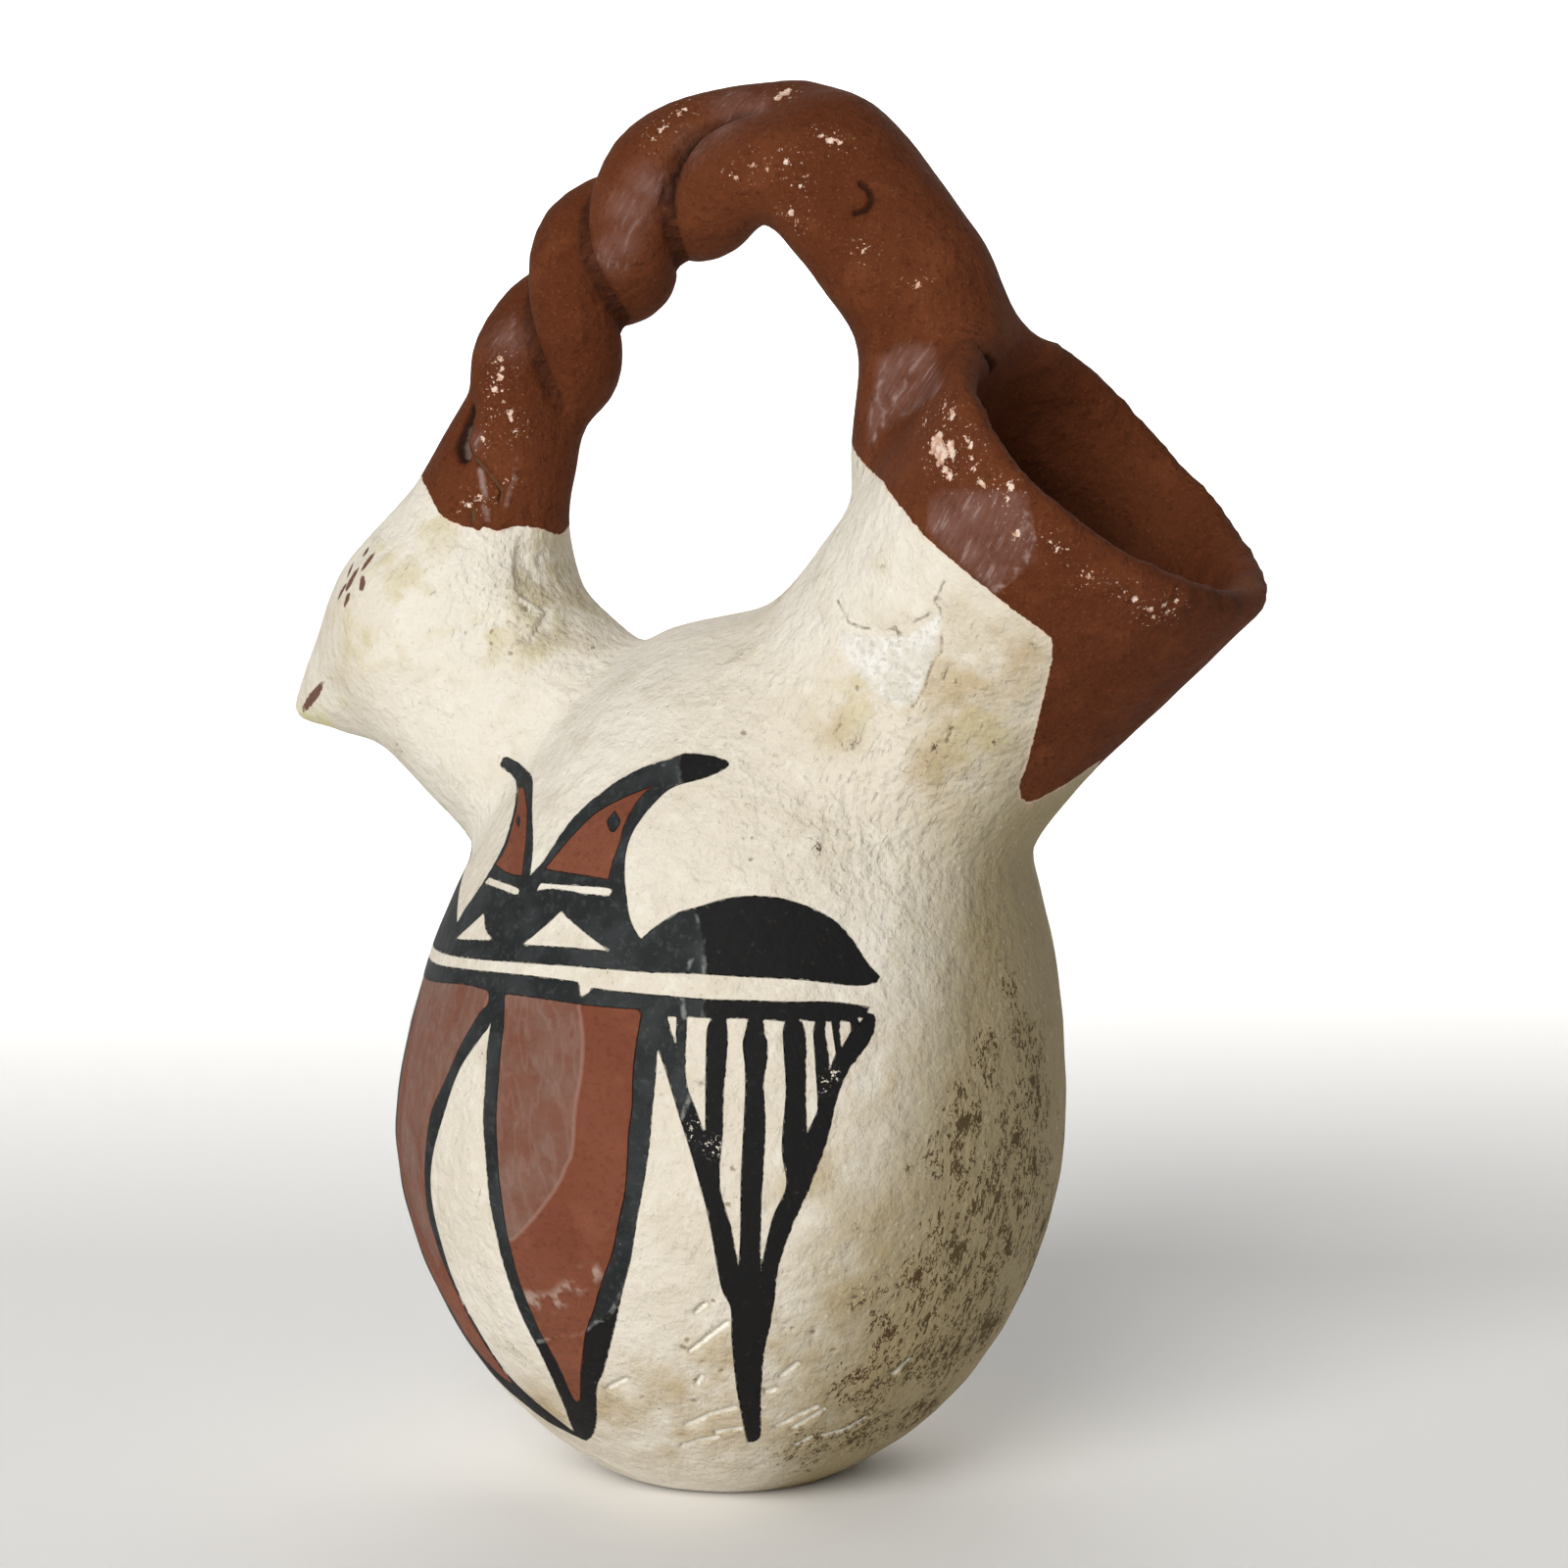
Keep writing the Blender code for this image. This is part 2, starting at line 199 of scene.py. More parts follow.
pot = bpy.data.objects.new("painted_bird_pot", cad_pot.data.copy())
bpy.context.scene.collection.objects.link(pot)
pot.data.materials.clear()


def settle(item):
    """Make the result of an object's modifiers its own mesh."""
    depsgraph = bpy.context.evaluated_depsgraph_get()
    item.data = bpy.data.meshes.new_from_object(item.evaluated_get(depsgraph))
    item.modifiers.clear()


weld = pot.modifiers.new("weld", "WELD")
weld.merge_threshold = 0.01 * MM
rounded = pot.modifiers.new("round", "SUBSURF")
rounded.levels = rounded.render_levels = 2
even = pot.modifiers.new("even", "REMESH")
even.mode = "VOXEL"
even.voxel_size = VOXEL
settle(pot)
print("even skin:", len(pot.data.vertices), "points")


# %% Points, edges and neighbours as arrays
def places(item):
    """Every point of a mesh as rows of x, y and z."""
    row = np.empty(len(item.data.vertices) * 3, np.float32)
    item.data.vertices.foreach_get("co", row)
    return row.reshape(-1, 3).astype(float)


def put(item, spots):
    item.data.vertices.foreach_set("co", spots.astype(np.float32).ravel())
    item.data.update()


def edges_of(item):
    row = np.empty(len(item.data.edges) * 2, np.int32)
    item.data.edges.foreach_get("vertices", row)
    return row.reshape(-1, 2)


def averaged(values, pairs):
    """Each point's value as the mean of its neighbours' values."""
    count = np.bincount(pairs.ravel(), minlength=len(values)).astype(float)
    total = np.empty_like(values)
    for axis in range(values.shape[1]):
        there = np.bincount(pairs[:, 0], values[pairs[:, 1], axis], len(values))
        again = np.bincount(pairs[:, 1], values[pairs[:, 0], axis], len(values))
        total[:, axis] = there + again
    return total / count[:, None]


# %% Smooth out the facets without shrinking the pot
SMOOTH_IN = 0.50
SMOOTH_OUT = -0.526
SMOOTH_TURNS = 30

spots = places(pot)
pairs = edges_of(pot)
start = spots.copy()
for turn in range(SMOOTH_TURNS):
    for share in (SMOOTH_IN, SMOOTH_OUT):
        spots += share * (averaged(spots, pairs) - spots)
spots[:, 2] = np.where(start[:, 2] < 0.05 * MM, start[:, 2], np.maximum(spots[:, 2], 0.0))
put(pot, spots)
moved = np.linalg.norm(spots - start, axis=1) / MM
print("smoothed by", round(float(moved.mean()), 3), "mm, at most", round(float(moved.max()), 2), "mm")

# %% [markdown]
# ## Places on the pot
#
# Marks and paint need places. The jar is turned from one profile, the spout's rings
# follow one short curve and the handle is wound along one line, so all three are rebuilt
# here from the same numbers as the CAD source. A place can then be named as a potter
# would name it: so far round the jar from the breast and so high, or so far along the
# handle.

# %% The jar's profile and the mouth
BELLY_RADIUS = 40.4 * MM
BELLY_HEIGHT = 42.1 * MM
DOME_HEIGHT = 104.2 * MM
BASE_DEPTH = 45.1 * MM
BASE_FULLNESS = 1.78
SHOULDER_FULLNESS = 1.80
SHOULDER_LEAN = 6.0 * MM
LEAN_CURVE = 1.2
WALL = 4.5 * MM

MOUTH_MIDDLE = np.array((48.3, 0.0, 120.0)) * MM
MOUTH_LEAN = math.radians(36.5)
MOUTH_FACING = np.array((math.sin(MOUTH_LEAN), 0.0, math.cos(MOUTH_LEAN)))
MOUTH_DOWN = np.array((math.cos(MOUTH_LEAN), 0.0, -math.sin(MOUTH_LEAN)))
MOUTH_RADIUS = 23.0 * MM


def jar_axis(height):
    """How far the jar's middle leans towards the tail at a height."""
    share = np.maximum(0.0, height - BELLY_HEIGHT) / (DOME_HEIGHT - BELLY_HEIGHT)
    return SHOULDER_LEAN * share ** LEAN_CURVE


def jar_radius(height):
    """The turned jar's radius at a height, nothing above its dome."""
    below = np.clip((BELLY_HEIGHT - height) / BASE_DEPTH, 0.0, 1.0)
    above = np.clip((height - BELLY_HEIGHT) / (DOME_HEIGHT - BELLY_HEIGHT), 0.0, 1.0)
    share = below ** BASE_FULLNESS + above ** SHOULDER_FULLNESS
    return BELLY_RADIUS * np.sqrt(np.maximum(0.0, 1.0 - share))


def through(stations, share):
    """Smooth curve through evenly counted stations, at a share of their count."""
    place = share * (len(stations) - 1)
    index = min(int(place), len(stations) - 2)
    part = place - index
    first, second = stations[index], stations[index + 1]
    before = stations[index - 1] if index > 0 else 2 * first - second
    after = stations[index + 2] if index + 2 < len(stations) else 2 * second - first
    return 0.5 * (
        2 * first
        + (second - before) * part
        + (2 * before - 5 * first + 4 * second - after) * part ** 2
        + (3 * first - before - 3 * second + after) * part ** 3
    )


print("jar radius at the belly:", round(float(jar_radius(BELLY_HEIGHT)) / MM, 1), "mm")

# %% Which points lie inside the pot
# Each station of the spout: X, Z, lean, radius front to back, half width
SPOUT_STATIONS = np.array((
    (13.0 * MM, 80.9 * MM, math.radians(42.2), 24.0 * MM, 24.0 * MM),
    (26.3 * MM, 95.4 * MM, math.radians(39.9), 20.6 * MM, 20.6 * MM),
    (48.3 * MM, 120.0 * MM, math.radians(36.5), 23.0 * MM, 26.5 * MM),
))
SPOUT_STEPS = 48
RING_HALF = 0.8 * MM
FOOT_TOP = 3.0 * MM


def hollow(spots):
    """True for points of the jar's and the spout's inner faces."""
    round_jar = np.hypot(spots[:, 0] - jar_axis(spots[:, 2]), spots[:, 1])
    within = (round_jar < jar_radius(spots[:, 2]) - WALL / 2) & (spots[:, 2] > FOOT_TOP)
    within &= spots[:, 2] < DOME_HEIGHT - WALL / 2
    for step in range(SPOUT_STEPS + 1):
        x, z, lean, deep, wide = through(SPOUT_STATIONS, step / SPOUT_STEPS)
        facing = np.array((math.sin(lean), 0.0, math.cos(lean)))
        down = np.array((math.cos(lean), 0.0, -math.sin(lean)))
        there = spots - (x, 0.0, z)
        along = there @ down / (deep - WALL / 2)
        across = there[:, 1] / (wide - WALL / 2)
        near = np.abs(there @ facing) < RING_HALF
        within |= near & (along ** 2 + across ** 2 < 1.0)
    return within


def below_mouth(spots):
    """How far each point lies below the plane of the spout's rim."""
    return (MOUTH_MIDDLE - spots) @ MOUTH_FACING


def vertex_normals(item):
    row = np.empty(len(item.data.vertices) * 3, np.float32)
    item.data.vertex_normals.foreach_get("vector", row)
    return row.reshape(-1, 3).astype(float)


inner = hollow(spots)
print("inner points:", int(inner.sum()), "of", len(spots))

# %% Thin out the dark inside of the jar
DEEP_INSIDE = 34.0 * MM
INSIDE_KEPT = 0.10

deep = inner & (below_mouth(spots) > DEEP_INSIDE)
group = pot.vertex_groups.new(name="deep_inside")
group.add([int(index) for index in np.flatnonzero(deep)], 1.0, "REPLACE")
thin = pot.modifiers.new("thin", "DECIMATE")
thin.vertex_group = group.name
thin.ratio = 1.0 - float(deep.mean()) * (1.0 - INSIDE_KEPT)
settle(pot)
pot.vertex_groups.clear()
spots = places(pot)
print("after thinning the inside:", len(spots), "points,", len(pot.data.polygons), "faces")

# %% [markdown]
# ## Two strands of clay
#
# The handle is two rolls of clay wound round each other. A voxel skin rounds off the
# crease between them, and on the pot that crease is deep and dark. So the handle's line
# and the two strands' lines are drawn again, the squares on the handle are split into
# four, and each point is moved out to the surface of the strand that it is nearest to.

# %% Split chosen faces into four
def split(item, wanted):
    """Split each face that has a wanted point, and keep what is left as simple faces."""
    starts = np.empty(len(item.data.polygons), np.int32)
    item.data.polygons.foreach_get("loop_start", starts)
    corners = np.empty(len(item.data.loops), np.int32)
    item.data.loops.foreach_get("vertex_index", corners)
    chosen = np.logical_or.reduceat(wanted[corners], starts)
    shape = bmesh.new()
    shape.from_mesh(item.data)
    shape.faces.ensure_lookup_table()
    lines = {edge for index in np.flatnonzero(chosen) for edge in shape.faces[int(index)].edges}
    bmesh.ops.subdivide_edges(shape, edges=list(lines), cuts=1, use_grid_fill=True)
    odd = [face for face in shape.faces if len(face.verts) > 4]
    bmesh.ops.triangulate(shape, faces=odd)
    shape.to_mesh(item.data)
    shape.free()
    item.data.update()
    return places(item)


# %% The handle's line and its two strands
CROWN = np.array((-33.8, 0.0, 109.1)) * MM
STRAP_FOOT = MOUTH_MIDDLE - MOUTH_DOWN * MOUTH_RADIUS - np.array((4.6, 0.0, 12.5)) * MM
HANDLE_RISE = 40.3 * MM
STRAND_RADIUS = 5.2 * MM
STRAND_OFFSET = 3.8 * MM
STRAND_GROWTH = 0.30
GROWTH_START = 0.35
GROWTH_END = 0.65
STRAND_STEPS = 90
TWIST_EASE = 4
HANDLE_REACH = 13.0 * MM
HANDLE_SPLIT = (0.10, 0.70)
LINE_STEPS = 400
ARCH = (
    (0.00, 0.00), (0.07, 0.20), (0.15, 0.36), (0.25, 0.56), (0.40, 0.78), (0.51, 0.88), (0.65, 0.96),
    (0.79, 0.98), (0.90, 0.91), (1.00, 0.66), (1.07, 0.42), (1.05, 0.20), (1.00, 0.00),
)
TWIST = ((0.05, 170.0), (0.18, 90.0), (0.32, -90.0), (0.42, -270.0), (0.53, -415.0), (1.00, -430.0))


def handle_line(count):
    """Evenly spaced points along the arch, from the crown to the spout's back."""
    span = STRAP_FOOT - CROWN
    rise = np.array((-span[2], 0.0, span[0])) / np.hypot(span[0], span[2]) * HANDLE_RISE
    stations = [CROWN + span * along + rise * lift for along, lift in ARCH]
    fine = np.array([through(stations, step / LINE_STEPS) for step in range(LINE_STEPS + 1)])
    length = np.concatenate(([0.0], np.cumsum(np.linalg.norm(np.diff(fine, axis=0), axis=1))))
    wanted = np.linspace(0.0, length[-1], count)
    return np.column_stack([np.interp(wanted, length, fine[:, axis]) for axis in range(3)])


def strand_path(turn):
    """The middle line of one strand as it winds round the arch."""
    line = handle_line(STRAND_STEPS)
    shares = np.linspace(0.0, 1.0, STRAND_STEPS)
    angles = np.radians(np.interp(shares, *zip(*TWIST)) + turn)
    window = 2 * TWIST_EASE + 1
    padded = np.pad(angles, TWIST_EASE, mode="edge")
    angles = np.convolve(padded, np.ones(window) / window, mode="valid")
    ahead = np.gradient(line, axis=0)
    ahead /= np.linalg.norm(ahead, axis=1)[:, None]
    outward = np.column_stack((-ahead[:, 2], np.zeros(STRAND_STEPS), ahead[:, 0]))
    front = np.array((0.0, -1.0, 0.0))
    swing = np.cos(angles)[:, None] * outward + np.sin(angles)[:, None] * front
    return line + STRAND_OFFSET * swing


def nearest_on(line, spots):
    """Nearest point of an open line to each spot, and how far along the line it is, from 0 to 1."""
    best = np.full(len(spots), 1.0)
    foot = np.zeros_like(spots)
    share = np.zeros(len(spots))
    for index, (first, second) in enumerate(zip(line[:-1], line[1:])):
        step = second - first
        along = np.clip((spots - first) @ step / (step @ step), 0.0, 1.0)
        there = first + along[:, None] * step
        gap = np.linalg.norm(spots - there, axis=1)
        closer = gap < best
        best = np.where(closer, gap, best)
        foot[closer] = there[closer]
        share[closer] = (index + along[closer]) / (len(line) - 1)
    return foot, best, share


arch = handle_line(STRAND_STEPS)
strands = (strand_path(0.0), strand_path(180.0))


def handle_share(spots):
    """How far along the handle each point lies, from 0 to 1, and below zero off the handle."""
    _, from_arch, along_arch = nearest_on(arch, spots)
    return np.where(from_arch < HANDLE_REACH, along_arch, -1.0)


along = handle_share(spots)
spots = split(pot, (along > HANDLE_SPLIT[0]) & (along < HANDLE_SPLIT[1]))
print("handle split:", len(spots), "points")


# %% Move the handle's points out to the strands
TWIST_SPAN = (0.08, 0.74)
TWIST_OPENS = (0.165, 0.215)
TWIST_CLOSES = (0.55, 0.63)


def eased(value, low, high):
    """0 below low, 1 above high, and smooth in between."""
    share = np.clip((value - low) / (high - low), 0.0, 1.0)
    return share * share * (3.0 - 2.0 * share)


along = handle_share(spots)
handle = np.flatnonzero((along > TWIST_SPAN[0]) & (along < TWIST_SPAN[1]))
along = along[handle]
feet, gaps = zip(*[nearest_on(line, spots[handle])[:2] for line in strands])
first_nearer = gaps[0] < gaps[1]
foot = np.where(first_nearer[:, None], feet[0], feet[1])
gap = np.minimum(*gaps)
thickness = STRAND_RADIUS * (1.0 + STRAND_GROWTH * eased(along, GROWTH_START, GROWTH_END))
free = eased(along, *TWIST_OPENS) * (1.0 - eased(along, *TWIST_CLOSES))
step_out = (thickness - gap) * free
spots[handle] += (spots[handle] - foot) / gap[:, None] * step_out[:, None]
put(pot, spots)
print("strand points moved by up to", round(float(np.abs(step_out).max()) / MM, 2), "mm")

# %% [markdown]
# ## Measured outlines for the painting
#
# A brush stroke is only colour, so it isn't raised. It could be painted in an image, but
# this pot's paint stays sharp at any distance if each point of the skin knows how deep
# it lies within an outline, in millimetres: above zero is painted, below is bare. An
# outline is a few places on the jar, written as degrees round from the breast and
# millimetres up, joined by smooth curves, with a corner where one curve ends and the
# next begins. The motif is a traditional one of horns, leaves and a striped triangle.

# %% Outlines: curves, corners and places on the skin
REACH = 3.0 * MM
CURVE_STEPS = 5
FAR_OUT = 90.0 * MM

skin = BVHTree.FromObject(pot, bpy.context.evaluated_depsgraph_get())


def smooth_run(points):
    """One smooth curve through a few points."""
    if len(points) < 3:
        return [tuple(point) for point in points]
    stations = np.array(points, float)
    count = (len(points) - 1) * CURVE_STEPS
    return [tuple(through(stations, step / count)) for step in range(count + 1)]


def closed(*runs):
    """Several smooth runs, end to end, with a corner at each join."""
    return [point for run in runs for point in smooth_run(run)]


def on_jar(angle, height):
    """The place on the skin at an angle round from the breast and a height in millimetres."""
    turn = math.radians(angle)
    outward = Vector((-math.cos(turn), -math.sin(turn), 0.0))
    middle = Vector((float(jar_axis(height * MM)), 0.0, height * MM))
    hit = skin.ray_cast(middle + outward * FAR_OUT, -outward)[0]
    return np.array(hit)


def on_side(x, z):
    """The place on the skin that is seen from the right side, at x and z in millimetres."""
    hit = skin.ray_cast(Vector((x * MM, -FAR_OUT, z * MM)), Vector((0.0, 1.0, 0.0)))[0]
    return np.array(hit)


def line_on_jar(run):
    """A line of places on the skin, from angles and heights."""
    return np.array([on_jar(*place) for place in run])


def jar_chart(spots):
    """Degrees round from the breast and millimetres up, for points of the skin."""
    x = spots[:, 0] - jar_axis(spots[:, 2])
    return np.column_stack((np.degrees(np.arctan2(-spots[:, 1], -x)), spots[:, 2] / MM))


def side_chart(spots):
    return spots[:, (0, 2)] / MM


# %% How deep each point lies within an outline
def gap_to(line, spots, shut=True):
    """Distance from each point to a line of places, in millimetres, up to the reach."""
    gap = np.full(len(spots), REACH ** 2)
    ends = np.roll(line, -1, axis=0) if shut else line[1:]
    for first, second in zip(line, ends):
        step = second - first
        length = step @ step
        if length == 0.0:
            continue
        along = np.clip((spots - first) @ step / length, 0.0, 1.0)
        away = spots - first - along[:, None] * step
        gap = np.minimum(gap, np.einsum("ij,ij->i", away, away))
    return np.sqrt(gap) / MM


def depth_within(outline, place, flat, spots):
    """How deep each point lies within a closed outline, in millimetres, and below zero outside."""
    line = np.array([place(*point) for point in outline])
    low, high = line.min(axis=0) - REACH, line.max(axis=0) + REACH
    near = np.flatnonzero(np.all((spots > low) & (spots < high), axis=1))
    across, rise = flat[near, 0], flat[near, 1]
    odd = np.zeros(len(near), bool)
    for (x1, y1), (x2, y2) in zip(outline, outline[1:] + outline[:1]):
        if y1 != y2:
            cuts = (y1 > rise) != (y2 > rise)
            odd ^= cuts & (across < x1 + (rise - y1) * (x2 - x1) / (y2 - y1))
    depth = np.full(len(spots), -REACH / MM)
    gap = gap_to(line, spots[near])
    depth[near] = np.where(odd, gap, -gap)
    return depth


print("outlines reach", REACH / MM, "mm")

# %% The motif's outlines: the breast's hump and the two horns
BREAST_HUMP = [(-10, 76), (0, 76.2), (8, 76), (18, 75.2), (26, 74), (33, 72.4), (39, 70.3), (44.2, 68)]
LEFT_HORN_OUT = [
    (44.2, 68), (46.2, 70.2), (48.6, 72.5), (50.4, 74.8), (50.6, 77.5), (48.4, 79.8), (44.5, 81.8),
    (37.4, 83.4), (32.1, 84.5), (28.7, 85.3), (28.6, 86.2),
]
LEFT_HORN_IN = [
    (28.6, 86.2), (29.2, 86.5), (31, 86.1), (36.1, 85.4), (45.6, 84.6), (55.1, 81.7), (62.2, 78.2),
    (65.7, 75),
]
RIGHT_HORN_UP = [
    (65.7, 75), (67.8, 76.6), (69, 78.8), (70.9, 81.5), (73.9, 83.7), (78.6, 85.9), (84.6, 87.7),
    (90.2, 88.6), (94.4, 89.3), (100.5, 89.2), (105.8, 88.7), (107, 88.4),
]
RIGHT_HORN_LOW = [
    (107, 88.4), (106, 87.8), (102, 86.9), (94.9, 85.9), (91.4, 84.3), (88.7, 81.7), (87.9, 79.3),
    (88.8, 76.8), (90.8, 73.9), (93, 71.2), (95.6, 69.3),
]
print("horn places:", len(LEFT_HORN_OUT + LEFT_HORN_IN + RIGHT_HORN_UP + RIGHT_HORN_LOW))

# %% The hump behind the horns and the two edges of the bare line
SIDE_HUMP = [
    (95.7, 69.2), (98.3, 70.8), (101.9, 72.3), (105.7, 73), (110.5, 73.9), (115.4, 74.2), (121.4, 73.9),
    (127.2, 72.8), (131.5, 71.4), (134.8, 69.4), (137.4, 67), (139, 65.7), (140, 65), (139.3, 64.4),
]
UPPER_EDGE = [
    (139.3, 64.4), (136.3, 64.2), (132.1, 64.5), (125.8, 65.1), (116.6, 65.5), (107.4, 65.8),
    (101.1, 65.8), (97.6, 65.8), (85.1, 65.9), (71.6, 65.6), (59.4, 65.1), (40.5, 64.3), (20, 63.8),
    (0, 63.6), (-10, 63.6),
]
LOWER_EDGE = [
    (-10, 62.1), (0, 62.1), (20, 62.4), (39.4, 62.8), (52.8, 63.5), (66.9, 64.1), (77.5, 64.3),
    (85.4, 64.2),
]
DRIP = [(85.4, 64.2), (86.3, 62.7), (87.8, 63.1), (87.9, 63.7)]
LOWER_EDGE_ON = [
    (87.9, 63.7), (93.5, 63.5), (101.6, 63.3), (109.4, 63), (116.9, 62.9), (122.8, 62.7), (131.4, 62.5),
    (138.2, 61.7),
]
BAND_END = [(138.2, 61.7), (137.5, 61.2), (138.8, 60.8)]
HORNS_OUTLINE = closed(
    BREAST_HUMP, LEFT_HORN_OUT, LEFT_HORN_IN, RIGHT_HORN_UP, RIGHT_HORN_LOW, SIDE_HUMP, UPPER_EDGE
)
print("horns and humps:", len(HORNS_OUTLINE), "places")

# %% The striped triangle and the pair of leaves
TRIANGLE_RIGHT = [
    (138.8, 60.8), (138.9, 59.5), (137.8, 58), (135.9, 56.3), (134.1, 54.8), (132.2, 51.6),
    (130.9, 47.1), (128.5, 42.3), (125.8, 37.9), (123.6, 33), (123.1, 28.6), (122.5, 25.1),
    (121.7, 21.6), (121.9, 15.2), (122.7, 10.6), (121.7, 9.6),
]
TRIANGLE_LEFT = [
    (121.7, 9.6), (120.1, 9.4), (118.9, 11.3), (116.9, 17.4), (115.9, 23.9), (115.7, 27.9),
    (114.1, 30.5), (112.2, 38.6), (110.2, 43.9), (106.9, 50), (103.8, 55.1), (101.7, 57.9),
]
LEAF_OUT = [
    (101.7, 57.9), (102.1, 55.4), (102.2, 51.8), (102.2, 47), (101.6, 42.3), (100.4, 38.3), (99, 33.5),
    (97, 29.6), (94.3, 24.5), (90.1, 19), (87.5, 17), (84.8, 14), (82.2, 11.4), (77.8, 9), (72.1, 7.5),
    (69.5, 7.8), (64.1, 8.4), (60.4, 8.9), (57.2, 9.8),
]
LEFT_LEAF_OUT = [
    (57.2, 9.8), (51, 12), (45, 15.5), (40.5, 20), (36.5, 26), (33, 34), (31, 42), (30.5, 50), (31, 57),
    (31.5, 60.4),
]
LEAVES_OUTLINE = closed(
    LOWER_EDGE, DRIP, LOWER_EDGE_ON, BAND_END, TRIANGLE_RIGHT, TRIANGLE_LEFT, LEAF_OUT, LEFT_LEAF_OUT,
    [(31.5, 60.4), (-10, 60.2)],
)
print("leaves and triangle:", len(LEAVES_OUTLINE), "places")

# %% What is left bare within the black: the white leaf, two bars and two teeth
WHITE_LEAF_LEFT = [
    (68, 58.5), (65.3, 56.1), (61.7, 52.3), (59.4, 47.8), (57.7, 44), (55.8, 40.4), (54.9, 37.7),
    (54.4, 34.2), (54.6, 30.2), (55.7, 25.1), (57.7, 20.5), (59.5, 15.5), (64.5, 11.5), (70.8, 8.6),
]
WHITE_LEAF_RIGHT = [
    (70.8, 8.6), (74.3, 12.4), (75.8, 16.4), (75.7, 20.7), (74, 25.4), (73.1, 30.8), (72.9, 34.8),
    (72.3, 38.7), (71.9, 42.2), (71.1, 45.1), (70.1, 48.3), (69.3, 52.6), (68.2, 56.8), (68, 58.5),
]
LEFT_BAR_EDGE = [
    (49.7, 73.1), (51.4, 73.9), (58, 73.7), (63.7, 73.4), (64.3, 72.6), (57.6, 72.9), (49.7, 73.1),
]
RIGHT_BAR_EDGE = [
    (69, 73.5), (69.4, 74.4), (75.8, 74.5), (86.6, 74.6), (87.3, 73.7), (81.8, 73.7), (74.2, 73.9),
    (69, 73.5),
]
LEFT_TOOTH_EDGE = [
    (54.8, 70.1), (57.4, 68.6), (61.9, 67.4), (54.9, 66.9), (46.5, 66.3), (50.8, 68.1), (54.8, 70.1),
]
RIGHT_TOOTH_EDGE = [
    (77.3, 71.7), (82.5, 70.1), (87.3, 68.7), (90.3, 67.8), (85.5, 67.8), (80.5, 67.8), (70.2, 67.5),
    (72.2, 68.6), (75.3, 70.4), (77.3, 71.7),
]
BARE_LOOPS = [
    closed(WHITE_LEAF_LEFT, WHITE_LEAF_RIGHT),
    closed(LEFT_BAR_EDGE[:2], LEFT_BAR_EDGE[1:5], LEFT_BAR_EDGE[4:]),
    closed(RIGHT_BAR_EDGE[:2], RIGHT_BAR_EDGE[1:5], RIGHT_BAR_EDGE[4:]),
    closed(LEFT_TOOTH_EDGE[:3], LEFT_TOOTH_EDGE[2:5], LEFT_TOOTH_EDGE[4:]),
    closed(RIGHT_TOOTH_EDGE[:4], RIGHT_TOOTH_EDGE[3:7], RIGHT_TOOTH_EDGE[6:]),
]
print("bare loops:", len(BARE_LOOPS))

# %% The bare stripes of the triangle, each widest at its top and drawn down to a point
# Each stripe has its left edge downwards, then its right edge upwards
STRIPE_EDGES = (
    ((102.7, 61.1), (105, 57.8)),
    ((105, 57.8), (104.6, 61.1)),
    ((106.3, 61.1), (107.2, 54.4), (109.2, 51.1), (110.9, 48.4)),
    ((111.2, 48.6), (110.3, 56.7), (110, 59.6), (110.6, 61)),
    ((112.9, 61), (113.5, 59.1), (113.6, 56.8), (113.6, 52.9), (113.9, 48), (113.9, 42.5),
     (115.7, 37.6)),
    ((117, 32.7), (117.3, 36.6), (117.3, 44.6), (117.2, 51.9), (116.8, 55.8), (116.2, 58.1),
     (116.5, 59.6), (116.8, 61)),
    ((119.1, 60.9), (119.9, 58.7), (120.4, 57.1), (120, 53.8), (120.7, 49), (120.7, 43.4),
     (120.5, 37.6), (120.6, 31.9)),
    ((121.2, 34.5), (122.5, 38.7), (124.6, 42.3), (123.6, 46.5), (123.8, 52.8), (123.2, 56.7),
     (122.8, 59.4), (123.1, 60.6)),
    ((125.3, 60.8), (126.3, 59.9), (126.7, 58.4), (126.9, 54.7), (127.2, 50.8), (127.6, 48)),
    ((129.2, 50.6), (129, 52.7), (128.4, 56.6), (128, 59.3), (128.3, 60.5)),
    ((130, 60.5), (130, 59), (130.4, 57.9), (130.7, 56.5), (130.9, 54.9)),
    ((132, 56.9), (131.5, 58.8), (131.1, 60.4)),
    ((132.7, 60.4), (132.5, 59.3), (132.9, 57.4)),
    ((134.6, 59.1), (134.5, 60.3)),
    ((135.8, 60.7), (135.8, 59.8)),
    ((135.8, 59.8), (136.9, 60.6)),
)
STRIPES = [closed(left, right) for left, right in zip(STRIPE_EDGES[0::2], STRIPE_EDGES[1::2])]
print("bare stripes:", len(STRIPES))

# %% The red fields of the two leaves
LEFT_RED_TOP = [(34.1, 60.7), (40.7, 60.9), (56.5, 62), (65, 62)]
LEFT_RED_RIGHT = [
    (65, 62), (66, 60.6), (64, 59.1), (61.1, 55.6), (58.1, 51.2), (55, 47.3), (54.1, 43.2),
    (52.9, 38.5), (51.7, 34.9), (52.2, 30.7), (54.6, 25.4), (56.4, 20.5), (58.2, 15.5), (59, 13.9),
]
LEFT_RED_LEFT = [
    (59, 13.9), (54, 14.5), (48.5, 17.5), (43.5, 22.5), (39, 29.5), (35.8, 36.5), (34, 44), (33.6, 52),
    (34.1, 60.7),
]
RIGHT_RED_TOP = [(69.7, 62), (78.6, 62), (87.6, 61.8), (98.3, 61.7)]
